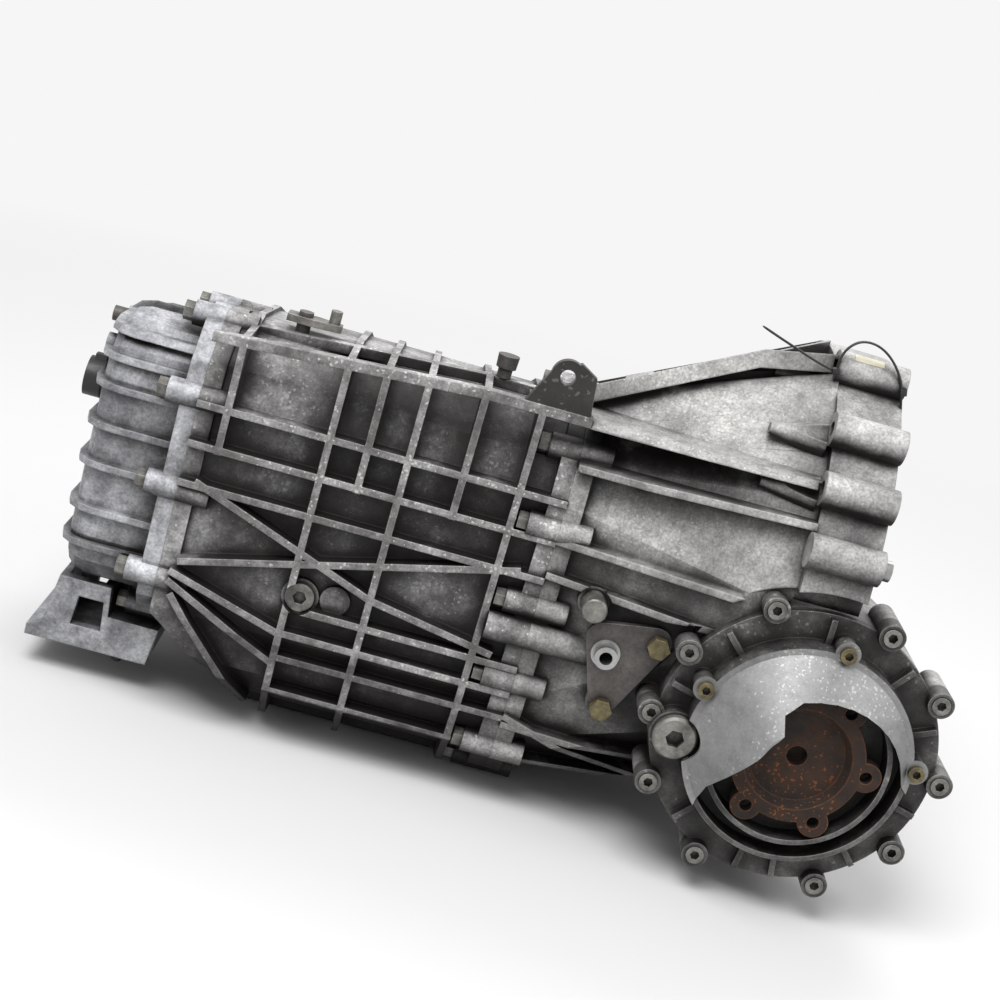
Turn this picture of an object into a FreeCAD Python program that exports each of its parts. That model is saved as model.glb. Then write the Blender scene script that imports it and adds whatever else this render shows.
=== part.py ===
import FreeCAD, Part

import math
import os
import re
from types import SimpleNamespace

import Sketcher
from FreeCAD import Placement, Rotation, Vector

# A longitudinal front-drive transaxle. x runs forward to the engine along the crank axis, y to the
# vehicle's left and z up; the origin is on the crank axis, in the plane of the engine's face.
SIZES = {
    # lengths along the crank axis
    "bell_length": 205, "case_length": 255, "rear_cover_length": 70,
    # the round rim that bolts to the engine
    "rim_radius": 165, "rim_length": 46, "rim_band": 14, "rim_bolt_circle": 172,
    "rim_boss_radius": 12, "lug_length": 38, "rim_hole_radius": 5.25, "dowel_radius": 7, "dowel_length": 16,
    "dowel_stand": 6,
    # section of the gear case
    "case_half_width": 114, "case_bottom": 186, "case_top": 84, "case_low_radius": 66,
    "case_high_radius": 56, "case_left_radius": 80, "case_fall": 11, "case_wall": 8, "rib_height": 12,
    "rib_thickness": 5, "top_rib_height": 3, "shelf_radius": 10, "shelf_top": 93, "shelf_drop": 12, "shelf_flat": 70, "rail_depth": 7, "rail_width": 8, "rail_inset": 46,
    "slope_start_z": -138, "slope_end_x": -384, "slope_end_z": -200,
    # section of the rear cover
    "cover_half_width": 102, "cover_bottom": 128, "cover_top": 70, "cover_low_radius": 40,
    "cover_high_radius": 45, "cover_left_radius": 60, "cover_fall": 20, "cover_wall": 7, "cover_rib_height": 5, "cover_edge_radius": 16,
    # seams and their bolts
    "seam_flange": 9, "seam_flange_length": 12, "seam_bolt_offset": 6, "seam_boss_radius": 9,
    "seam_boss_length": 22, "seam_bolt_radius": 4, "bolt_clearance": 0.25, "bolt_head_height": 7,
    "bolt_head_radius": 7, "front_bolt_count": 16, "rear_bolt_count": 12,
    # the axle across the front and the shaft beside the clutch
    "axle_x": -14, "axle_z": -80, "transfer_module": 3.5, "drive_teeth": 36, "driven_teeth": 22,
    "transfer_front_x": -226, "transfer_width": 20,
    # final drive
    "crown_teeth": 37, "pinion_teeth": 9, "crown_radius": 84, "crown_bore": 49.6,
    "crown_back": 34, "pinion_inner": 58, "side_shaft_radius": 14,
    # differential
    "side_teeth": 16, "spider_teeth": 10, "side_gear_radius": 28.8, "cage_radius": 49.5,
    "cage_flange_radius": 60, "cage_flange_length": 8, "cage_left_y": -30, "cage_centre_y": -64,
    "trunnion_radius": 24, "trunnion_length": 22, "cross_pin_radius": 7, "axle_radius": 12,
    "bearing_width": 18, "bearing_radius": 40,
    # differential housing and its side cover
    "housing_radius": 97, "housing_face_y": -150, "housing_wall": 7, "housing_inner_y": -66,
    "cover_bolt_circle": 100.7, "cover_boss_radius": 9, "cover_boss_height": 16,
    "cover_plate_radius": 97, "cover_plate_height": 8, "outer_collar_radius": 76,
    "inner_collar_radius": 62.5, "collar_height": 26, "collar_thickness": 3.5,
    "seal_radius": 24, "seal_width": 8, "seal_stand": 16,
    # drive flanges
    "flange_face_y": 180, "flange_thickness": 9, "flange_radius": 45, "flange_bolt_radius": 47,
    "flange_lobe_radius": 10.5, "flange_hole_radius": 4.2, "flange_dish_radius": 36,
    "flange_dish_depth": 7, "flange_hub_radius": 19, "flange_centre_hole": 7,
    # heat shield
    "shield_radius": 73, "shield_nose_radius": 32, "shield_reach": 36, "shield_sheet": 1.2,
    "shield_bolt_circle": 79, "shield_tab_radius": 8.5, "shield_boss_radius": 7.5,
    "shield_rim_radius": 65,
    # gear train on the crank axis
    "input_radius": 12, "input_tip_x": 8, "input_tail_x": -504, "spline_length": 34,
    "pilot_radius": 8, "pilot_length": 20,
    "planet_module": 1.6, "sun_teeth": 30, "planet_teeth": 21, "ring_teeth": 72,
    "planet_front_x": -274, "planet_width": 30, "planet_pin_radius": 6, "ring_outer_radius": 65,
    "carrier_plate": 6, "carrier_radius": 52, "carrier_hub_radius": 20,
    "web_front_x": -252, "web_thickness": 10, "web_hole_radius": 60,
    "drum_radius": 61, "drum_wall": 3, "front_drum_x": -196, "front_drum_length": 56,
    "rear_drum_x": -420, "rear_drum_length": 80, "plate_inner": 45, "plate_thickness": 4,
    "pump_radius": 58, "pump_length": 16, "bulkhead_x": -100, "bulkhead_thickness": 10,
    "axle_tube_radius": 30, "axle_tube_end_y": 150, "pinion_tube_radius": 36,
    "pinion_bearing_radius": 28, "tail_bearing_radius": 26, "head_play": 0.3, "running_play": 0.05,
    # fittings outside
    "port_plate_y": -138, "port_plate_thickness": 5, "port_corner_radius": 11,
    "mount_x": -484, "mount_y": -42, "mount_width": 84, "mount_stud_radius": 4,
    "mount_tip_z": -198, "mount_core_radius": 6, "mount_pad_radius": 22, "mount_pad_height": 14,
    "connector_radius": 14, "connector_reach": 16, "connector_y": -60, "connector_z": 12,
    "vent_radius": 5.5, "vent_bore": 3.5, "vent_drop": 16, "eye_thickness": 6, "eye_hole_radius": 5, "crest_y": -72, "crest_tilt": 14,
    "selector_x": -409, "selector_y": -66, "selector_shaft_radius": 5, "selector_lever_z": 90, "drain_x": -276,
}

document = FreeCAD.newDocument("transaxle")
sheet = document.addObject("Spreadsheet::Sheet", "sizes")
for row, (name, value) in enumerate(SIZES.items(), start=1):
    sheet.set(f"A{row}", name)
    sheet.set(f"B{row}", str(value))
    sheet.setAlias(f"B{row}", name)
document.recompute()
mm = SimpleNamespace(**{name: float(sheet.get(name)) for name in SIZES})

# Places that several pieces share.
seam_x = -mm.bell_length
rear_x = -(mm.bell_length + mm.case_length)
tail_x = rear_x - mm.rear_cover_length
centre_distance = mm.transfer_module * (mm.drive_teeth + mm.driven_teeth) / 2
side_y = -math.sqrt(centre_distance**2 - mm.axle_z**2)
SIDE_Y = "-sqrt((transfer_module * (drive_teeth + driven_teeth) / 2)^2 - axle_z^2)"
pinion_head_x = mm.axle_x - mm.crown_radius
apex_y = side_y

# Angles of the uneven bolt circles, counted from straight ahead towards the top.
COVER_BOLT_ANGLES = (1.5, 35, 69, 115, 152, 180, 209, 245.5, 295.5, 328.5)
SHIELD_BOLT_ANGLES = (8.6, 83.7, 157.7)
# Angles round the engine's rim, counted from the right-hand side over the top.
RIM_BOLT_ANGLES = (33, 48, 69, 132, 147, 164, 180, 224, 256, 272)
DOWEL_ANGLES = (19, 240)


def bound(text):
    """An expression with each size's name pointing at its cell."""
    return re.sub(r"[a-z_]\w*", lambda word: "sizes." + word[0] if word[0] in SIZES else word[0], text)


def number(text):
    """The present value of such an expression."""
    return float(sheet.evalExpression(bound(text)))


# Bodies made of sketches and features.
def new_body(label, x="0", y="0", z="0", turned=None):
    body = document.addObject("PartDesign::Body", label)
    body.Label = label
    if turned:
        body.Placement = Placement(Vector(), Rotation(*turned))
    for axis, text in zip("xyz", (x, y, z)):
        body.setExpression(f"Placement.Base.{axis}", bound(text))
    return body


def new_sketch(body, role, offset="0"):
    sketch = body.newObject("Sketcher::SketchObject", f"{body.Label}_sketch")
    plane = next(item for item in body.Origin.OriginFeatures if item.Role == role)
    sketch.AttachmentSupport = [(plane, "")]
    sketch.MapMode = "FlatFace"
    sketch.setExpression("AttachmentOffset.Base.z", bound(offset))
    return sketch


def pin_point(sketch, shape, end, point, values):
    for kind, text, at in zip(("DistanceX", "DistanceY"), point, values):
        index = sketch.addConstraint(Sketcher.Constraint(kind, -1, 1, shape, end, at))
        sketch.setExpression(f"Constraints[{index}]", bound(text))


def outline(body, role, points, offset="0"):
    """A closed outline of straight lines whose corners are bound to the sheet."""
    sketch = new_sketch(body, role, offset)
    values = [tuple(number(text) for text in point) for point in points]
    for start, stop in zip(values, values[1:] + values[:1]):
        sketch.addGeometry(Part.LineSegment(Vector(*start), Vector(*stop)), False)
    for index in range(len(points)):
        following = (index + 1) % len(points)
        sketch.addConstraint(Sketcher.Constraint("Coincident", index, 2, following, 1))
    for index, point in enumerate(points):
        pin_point(sketch, index, 1, point, values[index])
    return sketch


def circles(body, role, items, offset="0"):
    """Circles given as centre x, centre y and radius."""
    sketch = new_sketch(body, role, offset)
    for index, (x, y, radius) in enumerate(items):
        centre = (number(x), number(y))
        sketch.addGeometry(Part.Circle(Vector(*centre), Vector(0, 0, 1), number(radius)), False)
        pin_point(sketch, index, 3, (x, y), centre)
        bound_radius = sketch.addConstraint(Sketcher.Constraint("Radius", index, number(radius)))
        sketch.setExpression(f"Constraints[{bound_radius}]", bound(radius))
    return sketch


def pad(body, sketch, length, backwards=False):
    feature = body.newObject("PartDesign::Pad", f"{body.Label}_pad")
    feature.Profile = sketch
    feature.Reversed = backwards
    feature.setExpression("Length", bound(length))
    return feature


def pocket(body, sketch, length, backwards=False):
    feature = body.newObject("PartDesign::Pocket", f"{body.Label}_pocket")
    feature.Profile = sketch
    feature.Reversed = backwards
    feature.setExpression("Length", bound(length))
    return feature


def revolve(body, role, points, axis):
    feature = body.newObject("PartDesign::Revolution", f"{body.Label}_turning")
    sketch = outline(body, role, points)
    feature.Profile = sketch
    feature.ReferenceAxis = (sketch, [axis])
    feature.Angle = 360
    return feature


def ring_of(body, feature, sketch, count):
    pattern = body.newObject("PartDesign::PolarPattern", f"{body.Label}_ring")
    pattern.Originals = [feature]
    pattern.Axis = (sketch, ["N_Axis"])
    pattern.Angle = 360
    pattern.Occurrences = count
    body.Tip = pattern
    return pattern


def turned_along_x(label, points, y="0", z="0"):
    """A turned piece on an axis along the length; points are place and radius."""
    body = new_body(label, "0", y, z)
    revolve(body, "XZ_Plane", points, "H_Axis")
    return body


def turned_along_y(label, points):
    """A turned piece on the axle; points are radius and place."""
    body = new_body(label, "axle_x", "0", "axle_z")
    revolve(body, "XY_Plane", points, "V_Axis")
    return body


def tube_along_x(label, start, length, bore, radius, y="0", z="0"):
    stop = f"{start} + {length}"
    return turned_along_x(label, [(start, bore), (stop, bore), (stop, radius), (start, radius)], y, z)


def tube_along_y(label, start, length, bore, radius):
    stop = f"{start} + {length}"
    return turned_along_y(label, [(bore, start), (radius, start), (radius, stop), (bore, stop)])


# Castings, toothed pieces and fastener groups are shaped with solid operations.
def new_feature(label, shape):
    feature = document.addObject("Part::Feature", label)
    feature.Label = label
    feature.Shape = shape
    feature.Placement = shape.Placement
    return feature


def cylinder(radius, length, start, direction):
    return Part.makeCylinder(radius, length, Vector(*start), Vector(*direction))


def box(low, high):
    size = [top - bottom for bottom, top in zip(low, high)]
    return Part.makeBox(*size, Vector(*low))


def fused(shapes):
    return shapes[0].multiFuse(shapes[1:]) if len(shapes) > 1 else shapes[0]


def section(x, half, bottom, top, low_radius, high_radius, fall=0, left_radius=None):
    """An outline across the length: flat sides and corners rounded in three facets each. The top
    falls away to the left."""
    left = left_radius or high_radius
    corners = (
        (half - low_radius, -bottom + low_radius, low_radius, -90),
        (half - left, top - fall - left, left, 0),
        (high_radius - half, top - high_radius, high_radius, 90),
        (low_radius - half, -bottom + low_radius, low_radius, 180),
    )
    points = []
    for y, z, radius, first in corners:
        for turn in range(0, 91, 30):
            angle = math.radians(first + turn)
            points.append(Vector(x, y + radius * math.cos(angle), z + radius * math.sin(angle)))
    return Part.makePolygon(points + points[:1])


def prism(wire, length):
    return Part.Face(wire).extrude(Vector(length, 0, 0))


def case_outline(x, grow):
    return section(x, mm.case_half_width + grow, mm.case_bottom + grow, mm.case_top + grow,
                   mm.case_low_radius + grow, mm.case_high_radius + grow, mm.case_fall, mm.case_left_radius + grow)


def case_envelope(x, top, radius):
    """How far the ribs reach round the case."""
    grow = mm.rib_height
    return section(x, mm.case_half_width + grow, mm.case_bottom + grow, top, mm.case_low_radius + grow,
                   radius, mm.case_fall, mm.case_left_radius + grow)


def shelf_band(near, far, depth):
    """A band under the sloping edge of the shelf along the case's upper right side."""
    flat_x = seam_x - mm.shelf_flat
    rear_z = mm.shelf_top - mm.shelf_drop
    points = [(seam_x, mm.shelf_top), (flat_x, mm.shelf_top), (rear_x, rear_z), (rear_x, rear_z - depth),
              (flat_x, mm.shelf_top - depth), (seam_x, mm.shelf_top - depth)]
    wire = Part.makePolygon([Vector(x, near, z) for x, z in points + points[:1]])
    return Part.Face(wire).extrude(Vector(0, far - near, 0))


def rear_outline(x, grow):
    return section(x, mm.cover_half_width + grow, mm.cover_bottom + grow, mm.cover_top + grow,
                   mm.cover_low_radius + grow, mm.cover_high_radius + grow, mm.cover_fall,
                   mm.cover_left_radius + grow)


def rim_outline(x, grow):
    half = mm.rim_radius - mm.rim_band / 2 + grow
    round_part = half - mm.shelf_radius
    return section(x, half, half, half, round_part, round_part)


def bell_envelope_at_rim(x):
    half = mm.rim_radius + 3
    round_part = half - mm.shelf_radius
    return section(x, half, half, half, round_part, round_part)


def along(wire, count):
    """Places for a row of bolts, evenly spaced round an outline."""
    return [(point.y, point.z) for point in wire.discretize(Number=count + 1)[:-1]]


def front_bolts():
    return along(case_outline(0, mm.seam_bolt_offset), int(mm.front_bolt_count))


def rear_bolts():
    return along(rear_outline(0, mm.cover_wall + mm.seam_bolt_offset), int(mm.rear_bolt_count))


def rim_place(angle):
    turn = math.radians(angle)
    return -mm.rim_bolt_circle * math.cos(turn), mm.rim_bolt_circle * math.sin(turn)


def on_axle(radius, angle):
    """A point of a circle round the axle, as x and z."""
    turn = math.radians(angle)
    return mm.axle_x + radius * math.cos(turn), mm.axle_z + radius * math.sin(turn)


def level_rib(x_start, x_stop, z, side):
    half = mm.rib_thickness / 2
    low_y, high_y = (-300, 0) if side < 0 else (0, 300)
    return box((x_start, low_y, z - half), (x_stop, high_y, z + half))


def sloping_rib(start, stop, side):
    """A flat rib between two points given as x and z."""
    (x_start, z_start), (x_stop, z_stop) = start, stop
    rib = level_rib(0, math.hypot(x_stop - x_start, z_stop - z_start), 0, side)
    rib.rotate(Vector(), Vector(0, 1, 0), -math.degrees(math.atan2(z_stop - z_start, x_stop - x_start)))
    rib.translate(Vector(x_start, 0, z_start))
    return rib


def cross_rib(x, z_low, z_high):
    half = mm.rib_thickness / 2
    return box((x - half, -300, z_low), (x + half, 300, z_high))


def under_slope(lift):
    """All that lies below the case's sloping floor at the rear."""
    run = mm.slope_end_x - rear_x
    drop = mm.slope_end_z - mm.slope_start_z
    block = box((-400, -300, -300), (700, 300, lift))
    block.rotate(Vector(), Vector(0, 1, 0), -math.degrees(math.atan2(drop, run)))
    block.translate(Vector(rear_x, 0, mm.slope_start_z + mm.rib_height))
    return block


def gear_case():
    length = mm.case_length
    wall = prism(case_outline(rear_x, 0), length).cut(under_slope(0))
    edge = mm.case_half_width + mm.rib_height
    rail = edge - mm.rail_inset
    high = mm.case_high_radius + mm.rib_height
    body_envelope = prism(case_envelope(rear_x, mm.case_top + mm.top_rib_height, high), length)
    shelf = shelf_band(-edge, mm.rail_width - rail, mm.shelf_top - mm.shelf_drop)
    envelope = body_envelope.fuse(shelf).cut(under_slope(-mm.rib_height))
    space = prism(case_outline(rear_x - 1, -mm.case_wall), length + 2).cut(under_slope(mm.case_wall))
    long_cross = (-369, -315, -238)
    short_cross = (-439, -343, -277)
    slabs = [cross_rib(x, -250, 150) for x in long_cross]
    slabs += [cross_rib(x, 0, 150) for x in short_cross]
    for z in (31, 3, -25):
        slabs.append(level_rib(rear_x, seam_x, z, -1))
    for z in (-92, -111, -130, -158):
        slabs.append(level_rib(-371, seam_x, z, -1))
    for z in (40, 5, -30, -65, -100, -135):
        slabs.append(level_rib(rear_x, seam_x, z, 1))
    for start, stop in (((-449, -22), (-315, -71)), ((-315, -71), (-225, -86)), ((-448, -80), (-222, -22)),
                        ((-452, -88), (-369, -112)), ((-452, -95), (-369, -136)),
                        ((-448, -104), (-383, -180))):
        slabs.append(sloping_rib(start, stop, -1))
    for y in (-45, 0, 45):
        slabs.append(box((rear_x, y - mm.rib_thickness / 2, -250), (seam_x, y + mm.rib_thickness / 2, -150)))
    slabs += [shelf_band(-outer, mm.rail_width - outer, mm.rail_depth) for outer in (edge, rail)]
    ribs = fused(slabs).common(envelope)
    flange_length = mm.seam_flange_length
    front_flange = prism(case_outline(seam_x - flange_length, mm.seam_flange), flange_length)
    reach = mm.cover_wall + mm.seam_flange
    rear_flange = prism(rear_outline(rear_x, reach), flange_length)
    pieces = [wall, ribs, front_flange]
    boss = mm.seam_boss_length
    for y, z in front_bolts():
        pieces.append(cylinder(mm.seam_boss_radius, boss, (seam_x - boss, y, z), (1, 0, 0)))
    pieces.append(cylinder(10, 30, (seam_x - 30, side_y - 62, mm.axle_z + 15), (1, 0, 0)))
    for x, z, radius in ((-362, -84, 13), (-338, -81, 10.5)):
        pieces.append(cylinder(radius, 12, (x, -mm.case_half_width - 4, z), (0, 1, 0)))
    stand = mm.selector_lever_z - 9
    pieces.append(cylinder(10, 47, (mm.selector_x, mm.selector_y, stand - 47), (0, 0, 1)))
    pieces.append(cylinder(13, 8, (mm.drain_x, 0, -mm.case_bottom - 5), (0, 0, 1)))
    case = fused(pieces).cut(space)
    rear = [rear_flange]
    for y, z in rear_bolts():
        rear.append(cylinder(mm.seam_boss_radius, boss, (rear_x, y, z), (1, 0, 0)))
    mouth = prism(rear_outline(rear_x - 1, -mm.cover_wall), flange_length + 2)
    rear_ring = fused(rear).cut(mouth)
    web_x = mm.web_front_x - mm.web_thickness
    web = prism(case_outline(web_x, -mm.case_wall / 2), mm.web_thickness)
    web = web.fuse(cylinder(mm.tail_bearing_radius + 6, mm.web_thickness, (web_x, side_y, mm.axle_z), (1, 0, 0)))
    web = web.cut(cylinder(mm.web_hole_radius, mm.web_thickness, (web_x, 0, 0), (1, 0, 0)))
    case = fused([case, rear_ring, web])
    holes = [cylinder(mm.tail_bearing_radius, mm.web_thickness, (web_x, side_y, mm.axle_z), (1, 0, 0))]
    hole = mm.seam_bolt_radius + mm.bolt_clearance
    head = mm.bolt_head_radius + 1
    for y, z in front_bolts():
        holes.append(cylinder(hole, boss + 2, (seam_x - boss - 1, y, z), (1, 0, 0)))
        holes.append(cylinder(head, mm.bolt_head_height + 1, (seam_x - boss, y, z), (-1, 0, 0)))
    for y, z in rear_bolts():
        holes.append(cylinder(hole, boss, (rear_x, y, z), (1, 0, 0)))
    holes.append(cylinder(11, 12, (-362, -mm.case_half_width - 4, -84), (0, -1, 0)))
    holes.append(cylinder(12, 8, (mm.drain_x, 0, -mm.case_bottom - 5), (0, 0, -1)))
    holes.append(cylinder(mm.selector_shaft_radius + mm.running_play, 80,
                          (mm.selector_x, mm.selector_y, stand - 61), (0, 0, 1)))
    holes.append(cylinder(8, 30, (-362, -mm.case_half_width - 5, -84), (0, 1, 0)))
    holes.append(cylinder(8, 30, (mm.drain_x, 0, -mm.case_bottom - mm.rib_height - 1), (0, 0, 1)))
    return new_feature("gear_case", fused([case]).cut(fused(holes)).removeSplitter())


def differential_chamber(grow):
    """The room of the crown wheel, cage and pinion, or with a wall round it."""
    y = mm.housing_face_y
    x, z = mm.axle_x, mm.axle_z
    radius = mm.housing_radius - mm.housing_wall
    room = [cylinder(radius + grow, mm.housing_inner_y - y + grow, (x, y, z), (0, 1, 0))]
    room.append(cylinder(mm.cage_radius + 4 + grow, mm.cage_left_y - y + 2 + grow, (x, y, z), (0, 1, 0)))
    return room


def bell_housing():
    rim_back = -mm.rim_length
    outer = Part.makeLoft([case_outline(seam_x, 0), rim_outline(rim_back, 0)], True, True)
    inner = Part.makeLoft([case_outline(seam_x, -mm.case_wall), rim_outline(rim_back, -mm.rim_band / 2)],
                          True, True)
    envelope = Part.makeLoft([case_envelope(seam_x, mm.shelf_top, mm.shelf_radius),
                              bell_envelope_at_rim(rim_back)], True, True)
    rim = cylinder(mm.rim_radius, mm.rim_length, (rim_back, 0, 0), (1, 0, 0))
    rim_space = cylinder(mm.rim_radius - mm.rim_band, mm.rim_length, (rim_back, 0, 0), (1, 0, 0))
    slabs = [level_rib(seam_x, rim_back, z, -1) for z in (-20, -135, -165)]
    slabs += [level_rib(seam_x, rim_back, z, 1) for z in (100, 70, 40, 8, -25, -60, -95, -130)]
    for start, stop in (((seam_x, 88), (rim_back, 94)), ((seam_x, 58), (rim_back, 69)),
                        ((seam_x, 5), (-70, 9)), ((seam_x, -128), (rim_back, -176))):
        slabs.append(sloping_rib(start, stop, -1))
    for y in (-50, 0, 50):
        slabs.append(box((seam_x, y - mm.rib_thickness / 2, -250), (rim_back, y + mm.rib_thickness / 2, 250)))
    ribs = fused(slabs).common(envelope)
    crest = [(seam_x, 106), (-100, 160), (rim_back, 171), (rim_back, 158), (-100, 147), (seam_x, 93)]
    wire = Part.makePolygon([Vector(x, mm.crest_y, z) for x, z in crest + crest[:1]])
    roof = Part.Face(wire).extrude(Vector(0, 142, 0))
    roof.rotate(Vector(0, mm.crest_y, 130), Vector(1, 0, 0), -mm.crest_tilt)
    cheek = Part.makeLoft([
        Part.makePolygon([Vector(x, y, z) for y, z in places + places[:1]])
        for x, places in ((seam_x, [(-64, 98), (-90, 71), (-50, 60)]), (rim_back, [(-64, 158), (-112, 111), (-50, 120)]))
    ], True, True)
    boss = mm.seam_boss_length
    flange = prism(case_outline(seam_x, mm.seam_flange), mm.seam_flange_length)
    bosses = [cylinder(mm.seam_boss_radius, boss, (seam_x, y, z), (1, 0, 0)) for y, z in front_bolts()]
    for angle in RIM_BOLT_ANGLES + DOWEL_ANGLES:
        y, z = rim_place(angle)
        bosses.append(cylinder(mm.rim_boss_radius, mm.rim_length + 4, (rim_back - 4, y, z), (1, 0, 0)))
    for angle in RIM_BOLT_ANGLES[:3]:
        y, z = rim_place(angle)
        lug = Part.makeCone(4, mm.rim_boss_radius + 1, mm.lug_length, Vector(rim_back - 4 - mm.lug_length, y * 0.9, z * 0.9),
                            Vector(1, 0, 0))
        spot = cylinder(9.5, mm.lug_length + 2, (rim_back - 4, y, z), (-1, 0, 0))
        bosses.append(lug.cut(spot))
    bosses.append(cylinder(10, 45, (seam_x, side_y - 62, mm.axle_z + 15), (1, 0, 0)))
    for x, z in ((-153, -56), (-120, -42), (-145, -95)):
        bosses.append(cylinder(10, 20, (x, mm.port_plate_y, z), (0, 1, 0)))
    bosses.append(cylinder(11, 16, (-169, mm.port_plate_y + 8, -28), (0, 1, 0)))
    x, z = mm.axle_x, mm.axle_z
    bosses.append(cylinder(34, 36, (x, mm.axle_tube_end_y - 36, z), (0, 1, 0)))
    bell = fused([outer, ribs, cheek, roof])
    bell = fused([bell, rim, flange])
    bell = fused([bell] + bosses).cut(inner.fuse(rim_space))
    middle = Part.makeLoft([case_outline(seam_x, -mm.case_wall / 2), rim_outline(rim_back, -mm.rim_band / 4)],
                           True, True)
    front = mm.bulkhead_x + mm.bulkhead_thickness
    bulkhead = middle.common(box((mm.bulkhead_x, -200, -200), (front, 200, 200)))
    rooms = differential_chamber(mm.housing_wall)
    for angle in COVER_BOLT_ANGLES:
        px, pz = on_axle(mm.cover_bolt_circle, angle)
        rooms.append(cylinder(mm.cover_boss_radius, 28, (px, mm.housing_face_y, pz), (0, 1, 0)))
    tube_back = mm.bulkhead_x - 35
    start = mm.cage_left_y
    rooms.append(cylinder(mm.pinion_tube_radius, x - tube_back, (tube_back, side_y, z), (1, 0, 0)))
    rooms.append(cylinder(mm.axle_tube_radius, mm.axle_tube_end_y - start, (x, start, z), (0, 1, 0)))
    rooms.append(cylinder(mm.bearing_radius + 7, mm.trunnion_length + 5, (x, start, z), (0, 1, 0)))
    rooms.append(cylinder(34, 16, (mm.bulkhead_x, 0, 0), (1, 0, 0)))
    bell = fused([bell, bulkhead] + rooms)
    holes = differential_chamber(0)
    holes.append(cylinder(mm.bearing_radius, mm.trunnion_length, (x, start, z), (0, 1, 0)))
    holes.append(cylinder(mm.axle_radius + 8, mm.axle_tube_end_y - start, (x, start, z), (0, 1, 0)))
    holes.append(cylinder(mm.seal_radius, mm.seal_width + 1, (x, mm.axle_tube_end_y - mm.seal_width, z), (0, 1, 0)))
    holes.append(cylinder(mm.pinion_bearing_radius, x - tube_back, (tube_back, side_y, z), (1, 0, 0)))
    holes.append(cylinder(26, 60, (mm.bulkhead_x - 1, 0, 0), (1, 0, 0)))
    reach = mm.cover_bolt_circle + mm.cover_boss_radius + 1.5
    holes.append(cylinder(reach, 60, (x, mm.housing_face_y, z), (0, -1, 0)))
    holes.append(cylinder(8.6, 9, (-169, mm.port_plate_y + 8, -28), (0, 1, 0)))
    holes.append(cylinder(12, 40, (-169, mm.port_plate_y + 8, -28), (0, -1, 0)))
    holes.append(cylinder(7, 3, (-153, mm.port_plate_y, -56), (0, 1, 0)))
    holes.append(cylinder(4.5, 26, (-153, mm.port_plate_y, -56), (0, 1, 0)))
    plate_room = Part.makePolygon([Vector(px, mm.port_plate_y, pz) for px, pz in
                                   ((-182, -34), (-97, -18), (-148, -124), (-182, -34))])
    holes.append(Part.Face(plate_room).extrude(Vector(0, -60, 0)))
    hole = mm.seam_bolt_radius + mm.bolt_clearance
    for y, z_bolt in front_bolts():
        holes.append(cylinder(hole, boss - 3, (seam_x, y, z_bolt), (1, 0, 0)))
    for angle in RIM_BOLT_ANGLES:
        y, z_bolt = rim_place(angle)
        holes.append(cylinder(mm.rim_hole_radius, mm.rim_length + 8, (rim_back - 6, y, z_bolt), (1, 0, 0)))
    for angle in DOWEL_ANGLES:
        y, z_bolt = rim_place(angle)
        holes.append(cylinder(mm.dowel_radius, mm.dowel_length - mm.dowel_stand,
                              (mm.dowel_stand - mm.dowel_length, y, z_bolt), (1, 0, 0)))
    for angle in COVER_BOLT_ANGLES:
        px, pz = on_axle(mm.cover_bolt_circle, angle)
        holes.append(cylinder(hole, 22, (px, mm.housing_face_y, pz), (0, 1, 0)))
    return new_feature("bell_housing", bell.cut(fused(holes)).removeSplitter())


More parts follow.
